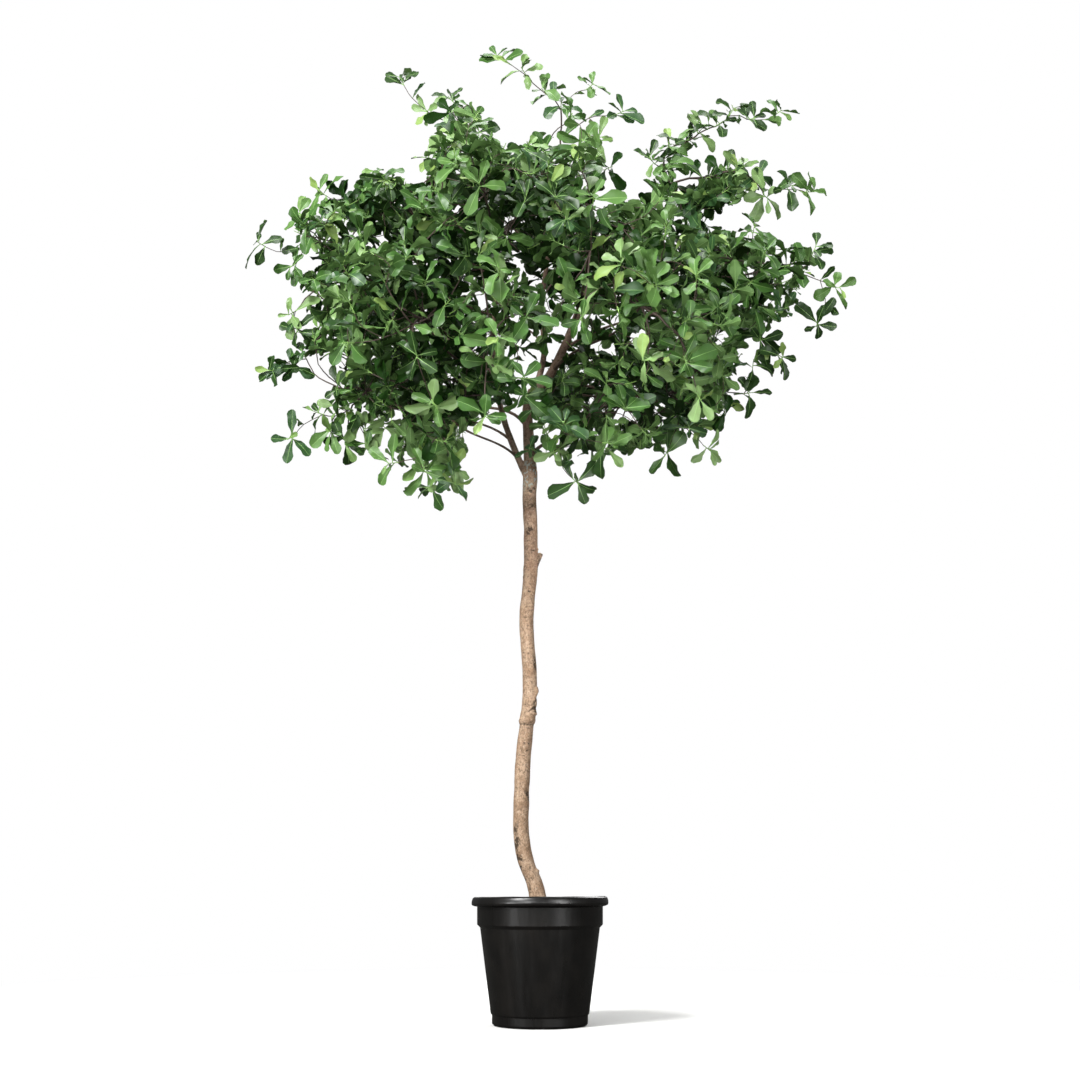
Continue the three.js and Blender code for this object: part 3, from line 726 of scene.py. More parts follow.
def makeStem():
    trunk = makeTrunk()
    knobs = [makeKnob(*row) for row in stem["knobs"]]
    tubes = [tube(boughRings(row, stem["boughRings"]), stem["boughSides"]) for row in mainBoughs.values()]
    boughs = meshFromArrays("boughs", *joinTubes(tubes), [])
    deselectAll()
    for part in [trunk, boughs, *knobs]:
        part.select_set(True)
    bpy.context.view_layer.objects.active = trunk
    bpy.ops.object.join()
    trunk.name = trunk.data.name = "stemAndMainBoughs"
    applyModifier(trunk, "REMESH", mode="VOXEL", voxel_size=stem["voxel"] * mm)
    applyModifier(trunk, "SMOOTH", factor=0.5, iterations=5)
    reliefOfBark(trunk)
    trunk.data.materials.clear()
    trunk.data.materials.append(barkMaterial("youngBark", bark["young"]))
    pick(trunk)
    bpy.ops.object.shade_smooth()
    keepPiece(trunk, "trunk_bark", "trunk", *mainBoughs)
    print("stem", len(trunk.data.polygons), "faces")


# The masses of foliage, as the solids have them: centre and reach. The bough of each leaves the named
# limb at a share of its length, where 1 is the limb's own end. Sprigs are the sprays that stand out of
# the crown, from the limb outward: x and z as the camera sees them on the plane through the stem, with
# the real depth between them. Inner buds close the crown over its middle and round its corners.

masses = dict(
    low_left_front=dict(
        centre=(-288, -252, 1592), reach=(205, 230, 225), limb="bough_left", share=0.16,
        sprigs=[(-241, -250, 1500), (-390, -200, 1499), (-235, -250, 1456), (-286, -240, 1428),
                (-320, -250, 1480)]),
    low_left=dict(
        centre=(-500, -40, 1695), reach=(200, 250, 185), limb="bough_left", share=0.26,
        sprigs=[(-532, 0, 1571), (-600, 5, 1635), (-677, 10, 1577), (-546, -60, 1708),
                (-650, -10, 1795), (-731, -20, 1764), (-690, -15, 1775), (-440, 0, 1612),
                (-575, 0, 1600), (-500, 0, 1606), (-480, 10, 1560), (-548, -20, 1650)]),
    low_back_left=dict(
        centre=(-360, 400, 1815), reach=(260, 265, 220), limb="trunk", share=0.865,
        sprigs=[(-480, 520, 1740), (-300, 640, 1730)]),
    low_right_front=dict(
        centre=(160, -230, 1590), reach=(195, 230, 210), limb="trunk", share=0.815,
        sprigs=[(55, -200, 1540), (92, -200, 1452), (168, -230, 1542), (-6, -150, 1528),
                (20, -160, 1580), (-12, -240, 1650), (30, -260, 1690)]),
    low_right=dict(
        centre=(400, 10, 1685), reach=(210, 250, 190), limb="bough_right", share=0.12,
        sprigs=[(352, 20, 1535), (400, 0, 1600), (452, 0, 1546), (564, 0, 1694), (510, 10, 1650),
                (590, 10, 1765)]),
    low_back_right=dict(
        centre=(290, 400, 1820), reach=(265, 265, 225), limb="trunk", share=0.93,
        sprigs=[(380, 570, 1710), (180, 640, 1740)]),
    mid_left=dict(
        centre=(-560, 10, 2040), reach=(205, 285, 225), limb="bough_left", share=0.52,
        sprigs=[(-667, 10, 2197), (-685, 20, 2072), (-774, 10, 2122), (-584, 0, 2064), (-684, 10, 1932),
                (-680, 0, 1884)]),
    mid_left_front=dict(
        centre=(-322, -440, 1790), reach=(225, 240, 215), limb="bough_left", share=0.42,
        sprigs=[(-343, -600, 1806), (-300, -520, 1677), (-270, -580, 1945), (-520, -540, 1840)],
        inner=[(-520, -300, 1960), (-545, -250, 2080), (-490, -320, 1850)]),
    centre_front=dict(
        centre=(-125, -490, 1730), reach=(150, 210, 185), limb="bough_left", share=0.34,
        sprigs=[(-152, -560, 1645), (-120, -660, 1840), (-60, -560, 1740), (-95, -300, 1790),
                (-112, -300, 1715), (-58, -300, 1695)]),
    mid_right_front=dict(
        centre=(285, -440, 1815), reach=(210, 240, 210), limb="bough_right", share=0.2,
        sprigs=[(436, -520, 1694), (437, -600, 2014), (300, -600, 1790)],
        inner=[(480, -320, 1840), (540, -270, 1990), (500, -260, 1765)]),
    mid_right=dict(
        centre=(590, 40, 2050), reach=(220, 285, 210), limb="bough_right", share=0.3,
        sprigs=[(719, 10, 2046), (765, 10, 2098), (818, 0, 2004), (776, 0, 1903), (610, 0, 1862),
                (656, 0, 1808), (600, 0, 2160)]),
    mid_back_right=dict(
        centre=(480, 430, 2120), reach=(270, 280, 240), limb="bough_right", share=0.48,
        sprigs=[(570, 600, 2010), (400, 660, 2000)]),
    mid_back_left=dict(
        centre=(-335, 440, 2165), reach=(285, 280, 245), limb="bough_centre", share=0.4,
        sprigs=[(-380, 660, 2030), (-530, 520, 2030)],
        inner=[(-50, 500, 2120), (-75, 560, 2010), (-60, 600, 1890)]),
    upper_left=dict(
        centre=(-430, 10, 2290), reach=(235, 275, 190), limb="bough_centre", share=0.5,
        sprigs=[(-451, 0, 2325), (-540, 0, 2265), (-605, 0, 2272)]),
    upper_mid_left=dict(
        centre=(-235, 140, 2400), reach=(175, 220, 200), limb="bough_centre", share=0.75,
        sprigs=[(-190, 70, 2480), (-250, -190, 2520), (-180, -260, 2462), (-245, 60, 2550),
                (-305, 60, 2510), (-390, 30, 2606), (-312, 50, 2380)]),
    upper_front=dict(
        centre=(-130, -350, 2130), reach=(215, 260, 215), limb="bough_left", share=1,
        sprigs=[(-170, -560, 2300), (-50, -400, 2400), (-382, -500, 2057)]),
    upper_centre=dict(
        centre=(45, 90, 2430), reach=(180, 250, 205), limb="bough_centre", share=1,
        sprigs=[(60, 50, 2530), (22, 50, 2575), (-40, 40, 2636), (-104, 30, 2678), (133, 60, 2592),
                (215, 60, 2515), (165, 60, 2450), (185, 50, 2350), (-60, -120, 2360), (40, -150, 2290),
                (80, -190, 2500), (120, -270, 2440), (10, -300, 2390)],
        inner=[(-190, -60, 2300), (-150, 20, 2270), (-230, -110, 2370), (-120, -90, 2180),
                (-200, 30, 2150), (190, -60, 2130), (240, -10, 2190), (160, -120, 2090),
                (285, -70, 2120), (120, 10, 2160), (330, -40, 2200), (60, -60, 2120), (220, 60, 2230),
                (-20, -20, 2330), (90, -40, 2380), (-100, 60, 2330), (-60, 90, 2260), (-140, 100, 2350),
                (-30, 60, 2360), (-90, -30, 2360), (-50, -60, 2300), (-160, 60, 2300), (-10, -80, 2250),
                (40, -100, 2200), (90, -130, 2250), (70, -20, 2260), (130, -60, 2300), (-20, 0, 2200),
                (30, 40, 2230), (-90, 230, 2250), (-40, 280, 2200), (-20, 200, 2320), (-110, 190, 2330),
                (-60, 330, 2280), (0, 260, 2150), (-80, 380, 2200)]),
    upper_right=dict(
        centre=(510, 100, 2355), reach=(250, 265, 160), limb="bough_right", share=1,
        sprigs=[(325, 80, 2368), (360, 80, 2404), (400, 80, 2426), (450, 70, 2458), (500, 60, 2480),
                (540, 60, 2512), (590, 60, 2502), (668, 60, 2512), (460, 80, 2322), (505, 80, 2338),
                (545, 60, 2346), (596, 60, 2328), (632, 60, 2276), (690, 60, 2292), (752, 60, 2283)]),
    upper_back=dict(
        centre=(185, 410, 2300), reach=(270, 265, 230), limb="bough_centre", share=0.62,
        sprigs=[(170, 630, 2160), (60, 540, 2300)],
        inner=[(-20, 480, 2300), (-30, 420, 2380)]),
    centre_right_front=dict(
        centre=(145, -400, 2060), reach=(200, 225, 195), limb="bough_right", share=0.38,
        sprigs=[(118, -520, 1924), (95, -480, 2018), (280, -450, 2120), (150, -560, 2250),
                (35, -330, 1885), (20, -330, 1960)]),
)

# The outline of the rest of the crown from the front, seen on the same plane, the windows in its front
# half through which the boughs show (from, to and half width), and the gaps through which the sky
# shows (place and radius).
crownOutline = [
    (-727, 2228), (-660, 2250), (-575, 2262), (-520, 2300), (-500, 2350), (-420, 2345), (-350, 2300),
    (-325, 2350), (-310, 2450), (-290, 2520), (-235, 2562), (-180, 2545), (-130, 2505), (-95, 2435),
    (-20, 2428), (15, 2480), (40, 2558), (120, 2560), (180, 2510), (205, 2460), (185, 2390),
    (190, 2310), (140, 2255), (240, 2255), (318, 2285), (310, 2330), (350, 2388), (430, 2450),
    (520, 2508), (590, 2522), (565, 2486), (480, 2430), (420, 2382), (365, 2302), (440, 2310),
    (510, 2352), (560, 2366), (625, 2338), (648, 2304), (606, 2268), (545, 2244), (495, 2190),
    (580, 2150), (625, 2172), (680, 2148), (765, 2135), (785, 2105), (750, 2000), (715, 1940),
    (665, 1890), (610, 1852), (560, 1795), (543, 1750), (575, 1715), (525, 1680), (510, 1640),
    (490, 1600), (450, 1548), (385, 1540), (310, 1530), (240, 1530), (185, 1520), (137, 1462),
    (120, 1432), (80, 1436), (35, 1495), (13, 1515), (-6, 1570), (-44, 1650), (-70, 1680), (-125, 1642),
    (-205, 1600), (-190, 1558), (-225, 1500), (-232, 1400), (-265, 1372), (-300, 1405), (-330, 1465),
    (-392, 1480), (-412, 1535), (-400, 1590), (-455, 1618), (-528, 1660), (-590, 1672), (-570, 1705),
    (-548, 1738), (-575, 1768), (-628, 1800), (-670, 1820), (-660, 1862), (-632, 1900), (-690, 1945),
    (-690, 2045), (-612, 2062), (-640, 2108), (-705, 2125), (-690, 2165),
]
windows = [
    ((-2, 1722), (104, 1925), 19),
    ((-44, 1500), (-94, 1615), 26),
    ((-36, 1400), (-38, 1610), 20),
]
gaps = [
    (-443, 2150, 15), (-400, 2250, 10), (-235, 2232, 15), (-85, 2193, 18), (-188, 2040, 10),
    (-160, 1962, 18), (-318, 2060, 14), (-520, 2160, 12), (-475, 2045, 10), (-558, 1928, 12),
    (-385, 1880, 12), (-560, 1790, 18), (-395, 1632, 20), (-62, 1806, 22), (-108, 1668, 16),
    (85, 1895, 22), (155, 1902, 14), (210, 1900, 14), (280, 1858, 22), (192, 1832, 20), (45, 1820, 14),
    (250, 1935, 14), (134, 1677, 16), (215, 1640, 18), (262, 1632, 14), (318, 1650, 12),
    (410, 1580, 20), (312, 1585, 10), (510, 1862, 16), (588, 2045, 18), (640, 2070, 12),
    (690, 2025, 14), (38, 2193, 12), (147, 2207, 12), (183, 2157, 10), (485, 2195, 16), (640, 1960, 14),
    (-30, 2060, 10), (-250, 1740, 10), (560, 1960, 10), (352, 1632, 10),
]

# The solids' rule of growth, with more buds, finer twigs and smaller leaves. Edge is the distance kept
# from a neighbour's space, limbGap from the limbs and rim from the crown's outline.
boughRule = dict(
    footShare=0.36, tipRadius=2.8, entry=0.7, entryStep=0.05, bend=0.32, lift=0.3, edge=8,
    solidInset=99,    # the solids' leaves are longer, so what carries them ends further inside
    rings=16, sides=14, collar=0.35, collarReach=26,
)
twigRule = dict(
    tipRadius=1.05, stem=45, stemRadius=3, pull=0.35, bow=0.16, join=2.2, edge=4, limbGap=3, sunk=2,
    sides=5, thickSides=7, thickFrom=2, stemSides=8,
    ringGap=22, ringCount=(4, 9), footGrow=1.15, wobble=0.006, unevenness=(0.92, 1.12),
)
# The green shoot that a rosette of leaves stands on: sunk into its twig and standing out of the leaves.
shootRule = dict(radii=(1.25, 1.2, 0.8), sunk=4, out=3, sides=5)
budRule = dict(
    total=920, fewest=16,    # in all and in each mass
    tries=12, misses=4,      # for each bud
    outward=0.34, inset=18, edge=8, limbGap=20, rim=26,
)
leafRule = dict(
    length=71, width=32, sizes=(1, 0.84, 0.68),
    clearFrom=0.35, widest=0.7,    # a leaf keeps clear of the limbs from this share of its length on
    atEnd=7, atMiddle=3, atSprig=6, onSprig=1, step=5,
    upright=20, spread=80, chance=0.6, outward=0.4, upward=0.85, nod=0.5, edge=1, limbGap=4, jitter=0.4,
    lost=0.12,
    # Sprigs turn their rosettes to the front and spread them flat.
    sprigTurn=(0, -1.1, 0.35), sprigHold=0.6, sprigUpright=50, sprigSpread=44,
)
growthSeeds = dict(first=101, step=37, leaves=7919)


def seededRandom(seed):
    state = [seed]

    def draw():
        state[0] = (state[0] * 1664525 + 1013904223) % 4294967296
        return state[0] / 4294967296
    return draw


def prepareMasses():
    for row, (name, mass) in enumerate(masses.items()):
        volume = math.prod(mass["reach"])
        mass.update(
            name=name, row=row, middle=np.array(mass["centre"], float), volume=volume,
            radii=np.array(mass["reach"], float) - budRule["inset"],
            seed=growthSeeds["first"] + growthSeeds["step"] * row,
        )
    middles = np.array([mass["middle"] for mass in masses.values()])
    weights = np.array([mass["volume"] ** (2 / 3) for mass in masses.values()])
    whole = sum(mass["volume"] for mass in masses.values())
    for mass in masses.values():
        mass["buds"] = max(budRule["fewest"], round(budRule["total"] * mass["volume"] / whole))
        mass["gaps"] = np.linalg.norm(middles - mass["middle"], axis=1)
        mass["middles"], mass["weights"] = middles, weights


def toFront(points):
    # Where the camera sees the points, on the plane through the stem.
    points = np.atleast_2d(points)
    distance, eye = -view["place"][1] / mm, view["place"][2] / mm
    nearer = distance / (distance + points[:, 1])
    return np.stack([points[:, 0] * nearer, eye + (points[:, 2] - eye) * nearer], 1)


def fromFront(x, depth, z):
    distance, eye = -view["place"][1] / mm, view["place"][2] / mm
    further = (distance + depth) / distance
    return np.array([x * further, depth, eye + (z - eye) * further])


def gapsTo(spots, starts, ends):
    # Distances on the plane from each spot to each straight piece.
    run = ends - starts
    away = spots[:, None] - starts
    share = np.clip((away * run).sum(2) / (run * run).sum(1), 0, 1)
    return np.linalg.norm(away - share[:, :, None] * run, axis=2)


def inCrown(points, margin):
    # Whether the camera sees the points inside the crown's outline, outside its gaps and, in the front
    # half, beside its windows.
    spots = toFront(points)
    starts = np.array(crownOutline, float)
    ends = np.roll(starts, -1, 0)
    x, z = spots[:, :1], spots[:, 1:]
    run = ends - starts
    with np.errstate(divide="ignore", invalid="ignore"):
        crossing = starts[:, 0] + run[:, 0] * (z - starts[:, 1]) / run[:, 1]
    crossed = ((starts[:, 1] > z) != (ends[:, 1] > z)) & (x < crossing)
    inside = crossed.sum(1) % 2 == 1
    if not (inside & (gapsTo(spots, starts, ends).min(1) > margin)).all():
        return False
    holes = np.array(gaps, float)
    if (np.linalg.norm(spots[:, None] - holes[:, :2], axis=2) < holes[:, 2]).any():
        return False
    if np.atleast_2d(points)[:, 1].min() > 0:
        return True
    starts, ends, widths = (np.array(column, float) for column in zip(*windows))
    return (gapsTo(spots, starts, ends) > widths + margin / 4).all()


def inSpace(points, mass, margin):
    # Whether the points lie in a mass's own space, at least margin from the planes to its neighbours.
    away = np.atleast_2d(points)[:, None] - mass["middles"]
    power = (away ** 2).sum(2) - mass["weights"]
    room = power - power[:, [mass["row"]]] > 2 * margin * mass["gaps"]
    room[:, mass["row"]] = True
    return room.all()


def piecesOf(limbs):
    starts, ends, radii = [], [], []
    for rings in limbs:
        for ring, after in zip(rings, rings[1:]):
            starts.append(ring["centre"])
            ends.append(after["centre"])
            radii.append(max(ring["radius"], after["radius"]))
    return np.array(starts), np.array(ends), np.array(radii)


def clearOf(pieces, a, b, gap):
    # Whether the straight piece from a to b stays clear of all pieces.
    starts, ends, radii = pieces
    u, v, w = b - a, ends - starts, a - starts
    uu, vv, uv, uw, vw = u @ u, (v * v).sum(1), v @ u, w @ u, (v * w).sum(1)
    spread = uu * vv - uv * uv
    s = np.where(spread > 1e-9, np.clip((uv * vw - vv * uw) / np.maximum(spread, 1e-9), 0, 1), 0)
    t = np.clip((uv * s + vw) / vv, 0, 1)
    if uu > 0:
        s = np.clip((uv * t - uw) / uu, 0, 1)
    apart = np.linalg.norm(a + s[:, None] * u - starts - t[:, None] * v, axis=1)
    return (apart > radii + gap).all()


def leadIn(mass, limbs):
    # The bough of a mass: from its limb to the near side of the mass, or that limb's own end.
    limb = limbs[mass["limb"]]
    if mass["share"] == 1:
        return limb[-1]["centre"], limb[-1]["direction"], None
    place = mass["share"] * (len(limb) - 1)
    ring, after = limb[int(place)], limb[int(place) + 1]
    start = ring["centre"] + (after["centre"] - ring["centre"]) * (place % 1)
    outward = start - mass["middle"]
    solidRadii = np.array(mass["reach"], float) - boughRule["solidInset"]
    outward = outward / np.linalg.norm(outward / solidRadii)
    depth = boughRule["entry"]
    while True:
        end = mass["middle"] + depth * outward
        depth -= boughRule["entryStep"]
        if inSpace(end, mass, boughRule["edge"]) or depth <= 0:
            break
    span = np.linalg.norm(end - start)
    heading = unit(unit(mass["middle"] - end) + np.array([0, 0, boughRule["lift"]]))
    leaving = unit(unit(end - start) + ring["direction"])
    bend = boughRule["bend"] * span
    at = bezier(start, start + bend * leaving, end - bend * heading, end)
    footRadius = max(ring["radius"] * boughRule["footShare"], boughRule["tipRadius"])
    taper = boughRule["tipRadius"] - footRadius
    rings = ringsAlong(at, boughRule["rings"], lambda share: footRadius + taper * math.sqrt(share))
    return end, heading, rings


def placeBuds(mass, pieces):
    random = seededRandom(mass["seed"])
    buds = [fromFront(*place) for place in mass["sprigs"] + mass.get("inner", [])]
    misses = 0
    while len(buds) < mass["buds"] and misses < budRule["misses"] * mass["buds"]:
        best, widest = None, 0
        for _ in range(budRule["tries"]):
            height = 2 * random() - 1
            turn = 2 * math.pi * random()
            out = random() ** budRule["outward"]
            level = math.sqrt(1 - height * height)
            way = np.array([level * math.cos(turn), level * math.sin(turn), height])
            point = mass["middle"] + out * way * mass["radii"]
            gap = np.linalg.norm(np.array(buds) - point, axis=1).min()
            if gap > widest and inSpace(point, mass, budRule["edge"]) and inCrown(point, budRule["rim"]) \
                    and clearOf(pieces, point, point, budRule["limbGap"]):
                best, widest = point, gap
        if best is None:
            misses += 1
        else:
            buds.append(best)
    return buds


def middleOf(node, bud):
    bow = twigRule["bow"] * np.linalg.norm(bud - node["place"])
    return (node["place"] + bud) / 2 + bow * node["heading"]


def growTwigs(mass, buds, pieces):
    # Each bud joins the twig that gives it the shortest way, in two steps with a bow.
    start, heading = mass["start"], mass["heading"]
    nodes = [
        dict(place=start, heading=heading, parent=-1, way=0, leafy=False),
        dict(place=start + twigRule["stem"] * heading, heading=heading, parent=0, way=twigRule["stem"],
             leafy=False),
    ]
    gap = twigRule["limbGap"]
    for order, bud in enumerate(buds):
        # Sprigs turn to the front and go anywhere, and inner buds may grow in other masses' spaces.
        faced = order < len(mass["sprigs"])
        free = order < len(mass["sprigs"] + mass.get("inner", []))
        costs = [np.linalg.norm(node["place"] - bud) + twigRule["pull"] * node["way"] for node in nodes]
        for parent in sorted(range(1, len(nodes)), key=costs.__getitem__):
            source = nodes[parent]
            middle = middleOf(source, bud)
            if (free or inSpace(middle, mass, twigRule["edge"])) \
                    and clearOf(pieces, source["place"], middle, gap) and clearOf(pieces, middle, bud, gap):
                way = source["way"] + np.linalg.norm(middle - source["place"])
                nodes.append(dict(
                    place=middle, heading=unit(bud - source["place"]), parent=parent, way=way, leafy=False,
                    free=free, faced=faced))
                nodes.append(dict(
                    place=bud, heading=unit(bud - middle), parent=len(nodes) - 1,
                    way=way + np.linalg.norm(bud - middle), leafy=True, free=free, faced=faced))
                break
    return nodes


def thickenTwigs(nodes):
    # A twig is as thick as the twigs that it carries together.
    power = twigRule["join"]
    load = [twigRule["tipRadius"] ** power if node["leafy"] else 0 for node in nodes]
    for i in range(len(nodes) - 1, 0, -1):
        nodes[i]["radius"] = min(load[i] ** (1 / power), twigRule["stemRadius"])
        load[nodes[i]["parent"]] += load[i]
    nodes[0]["radius"] = twigRule["stemRadius"]


def twigTubes(nodes, random):
    foot = [dict(centre=node["place"], direction=nodes[0]["heading"], radius=node["radius"])
            for node in nodes[:2]]
    tubes = [tube(foot, twigRule["stemSides"])]
    fewest, most = twigRule["ringCount"]
    for middle, end in zip(nodes[2::2], nodes[3::2]):
        source = nodes[middle["parent"]]
        at = curveThrough([source["place"], middle["place"], end["place"]])
        span = np.linalg.norm(end["place"] - source["place"])
        count = max(fewest, min(most, round(span / twigRule["ringGap"])))
        radii = [min(middle["radius"] * twigRule["footGrow"], source["radius"]), middle["radius"],
                 end["radius"]]
        rings = ringsAlong(at, count, lambda share: float(np.interp(share, [0, 0.5, 1], radii)))
        for ring in rings[1:-1]:
            ring["centre"] = ring["centre"] + random.normal(0, twigRule["wobble"] * span, 3)
            ring["radius"] *= random.uniform(*twigRule["unevenness"])
        thin = end["radius"] < twigRule["thickFrom"]
        tubes.append(tube(rings, twigRule["sides" if thin else "thickSides"]))
    return tubes


def shootTube(node, reach):
    way, up = node["heading"], node["shoot"]
    rings = [
        (node["place"] - shootRule["sunk"] * way, way),
        (node["place"] + 0.5 * reach * up, up),
        (node["tip"] + shootRule["out"] * up, up),
    ]
    return tube([
        dict(centre=centre, direction=direction, radius=radius)
        for (centre, direction), radius in zip(rings, shootRule["radii"])
    ], shootRule["sides"])


def leafAxis(node, mass, random):
    outward = (node["place"] - mass["middle"]) / mass["radii"]
    axis = node["heading"] + leafRule["outward"] * outward
    if node["faced"]:
        return unit(leafRule["sprigHold"] * axis + np.array(leafRule["sprigTurn"]))
    nod = leafRule["nod"] * np.array([2 * random() - 1 for _ in range(3)])
    return unit(axis + nod + np.array([0, 0, leafRule["upward"]]))


def addLeaves(node, axis, count, mass, pieces, random, leaves, spray):
    # Leaves round a twig in the golden angle, the lower ones lying flatter than the upper ones.
    # One that finds no room is tried smaller, and then its place is left out.
    level = squareTo(axis)
    beside = np.cross(axis, level)
    phase = 2 * math.pi * random()
    rosette = node["faced"] and node["leafy"]
    upright = leafRule["sprigUpright" if rosette else "upright"]
    spread = leafRule["sprigSpread" if rosette else "spread"]
    made = 0
    for k in range(2 * count):
        if made == count:
            break
        turn = phase + k * goldenAngle + leafRule["jitter"] * (2 * random() - 1)
        away = math.cos(turn) * level + math.sin(turn) * beside
        down = (k % count) / count
        flatness = leafRule["chance"] * random() + (1 - leafRule["chance"]) * down
        lean = math.radians(upright + spread * flatness)
        if random() < leafRule["lost"]:
            continue
        along = math.cos(lean) * axis + math.sin(lean) * away
        top = math.sin(lean) * axis - math.cos(lean) * away
        root = node["tip"] - leafRule["step"] * (k % count) * node["shoot"]
        side = np.cross(top, along)
        for size in leafRule["sizes"]:
            length, half = size * leafRule["length"], size * leafRule["width"] / 2
            broad = root + leafRule["widest"] * length * along
            outline = np.array([
                root, root + leafRule["clearFrom"] * length * along, root + length * along,
                broad + half * side, broad - half * side,
            ])
            own = node["free"] or inSpace(outline, mass, leafRule["edge"])
            room = node["faced"] or own and inCrown(outline, 0)
            if room and clearOf(pieces, outline[1], outline[2], leafRule["limbGap"]):
                leaves.append(dict(
                    root=root, along=along, top=top, size=size, spray=spray,
                    young=down < leafShape["youngFrom"]))
                made += 1
                break


# Leaves: each a thin closed blade with a midrib, spoon shaped, arched and a little folded and waved

leafShape = dict(
    # Share of the length, and half width as a share of the widest.
    outline=[(0, 0.06), (0.1, 0.11), (0.25, 0.34), (0.4, 0.64), (0.55, 0.89), (0.69, 1), (0.83, 0.94),
             (0.94, 0.66), (1, 0.2)],
    leastHalf=0.9,             # the blade's least half width, which the stalk has
    ribWidth=(0.95, 0.3),      # half width at the stalk and at the tip
    ribMost=0.55,              # the most of the blade's width that the rib takes
    thickness=(1.04, 0.4),     # at the stalk and at the tip
    arch=(0.1, 1.35),          # radians from end to end
    fold=(0.05, 0.65),
    wave=(1.4, 5.2),
    turns=12.5,                # radians of the margin's wave from end to end
    ripple=0.15,               # and how much it takes from and gives to the width
    twist=0.5,
    sizeSpread=(0.62, 1.22),
    widthSpread=(0.8, 1.16),
    roll=0.4,
    youngFrom=0.2,             # the leaves in this share of a shoot's top are young: shorter, less arched
    youngLength=0.78,
    youngArch=0.4,
)

leafColours = dict(
    # Tones and gloss of the tops, and how the sprays outside and deep inside the crown share them. The last
    # two tones are painted shade: near-black greens dealt mostly to the sprays deep inside, where shade
    # falls.
    top=["#27421a", "#3c6028", "#527639", "#31522b", "#728f57", "#112808", "#1c3a0f"],
    gloss=[0.36, 0.42, 0.38, 0.48, 0.42, 0.16, 0.2],
    outerShares=[0.23, 0.27, 0.2, 0.16, 0.12, 0, 0.02],
    innerShadeShares=[0.1, 0.04, 0, 0.08, 0, 0.46, 0.32],
    # The tones from here on are painted shade.
    shadeFrom=5,    # the tones from this one on are dark ones
    young=["#7f9b50", "#698a48"],
    youngChance=(0.02, 0.26),    # that an old and a young leaf has such a colour, if its spray isn't dark
    rib="#7fa45e",
    # The second underside is painted shade, for the sprays whose tops have a painted-shade tone.
    under=["#5a7a42", "#21390f"],    # of other and of dark sprays
    shoot="#7ea352",
    # A spray that one other covers on its most open side is never deep, and one that four cover always
    # is. Those count that are this far out from it and this close to the line out.
    cover=(1, 4), coverFrom=60, coverReach=92,
    sides=[(0, -1, 0), (0.7, -0.7, 0), (-0.7, -0.7, 0), (1, 0, 0), (-1, 0, 0), (0.7, 0.7, 0),
           (-0.7, 0.7, 0), (0, 1, 0), (0, 0, 1)],
)


def leafMaterials():
    # A living evergreen leaf: a thin wax gives its top a soft satin gleam, and its underside is paler
    # and matt. Colours are dealt out leaf by leaf, so each is one plain colour. The darkest top tones and
    # the dark underside are painted shade for sprays deep in the crown.
    made = []
    for i, (colour, gloss) in enumerate(zip(leafColours["top"], leafColours["gloss"])):
        made.append(newMaterial(
            f"waxedLeafTop{i}", colour, Roughness=0.4, IOR=1.45, Specular_IOR_Level=gloss)[0])
    for i, colour in enumerate(leafColours["young"]):
        made.append(newMaterial(f"youngLeafTop{i}", colour, Roughness=0.46, IOR=1.45)[0])
    made.append(newMaterial("leafMidrib", leafColours["rib"], Roughness=0.5, IOR=1.45)[0])
    for i, colour in enumerate(leafColours["under"]):
        made.append(newMaterial(f"leafUnderside{i}", colour, Roughness=0.62, Specular_IOR_Level=0.25)[0])
    return made


def coverOf(places):
    # How many sprays stand before each one, seen from its most open side.
    fewest = np.full(len(places), np.inf)
    away = places[None] - places[:, None]
    for side in leafColours["sides"]:
        along = away @ unit(np.array(side, float))
        beside = np.sqrt(np.maximum((away ** 2).sum(2) - along ** 2, 0))
        before = (along > leafColours["coverFrom"]) & (beside < leafColours["coverReach"])
        fewest = np.minimum(fewest, before.sum(1))
    return fewest


def toneOf(cover, random):
    # The more sprays cover this one, the likelier it is to get the painted-shade tones.
    deep = random.random() < np.interp(cover, leafColours["cover"], [0, 1])
    shares = leafColours["innerShadeShares" if deep else "outerShares"]
    return int(random.choice(len(shares), p=shares))


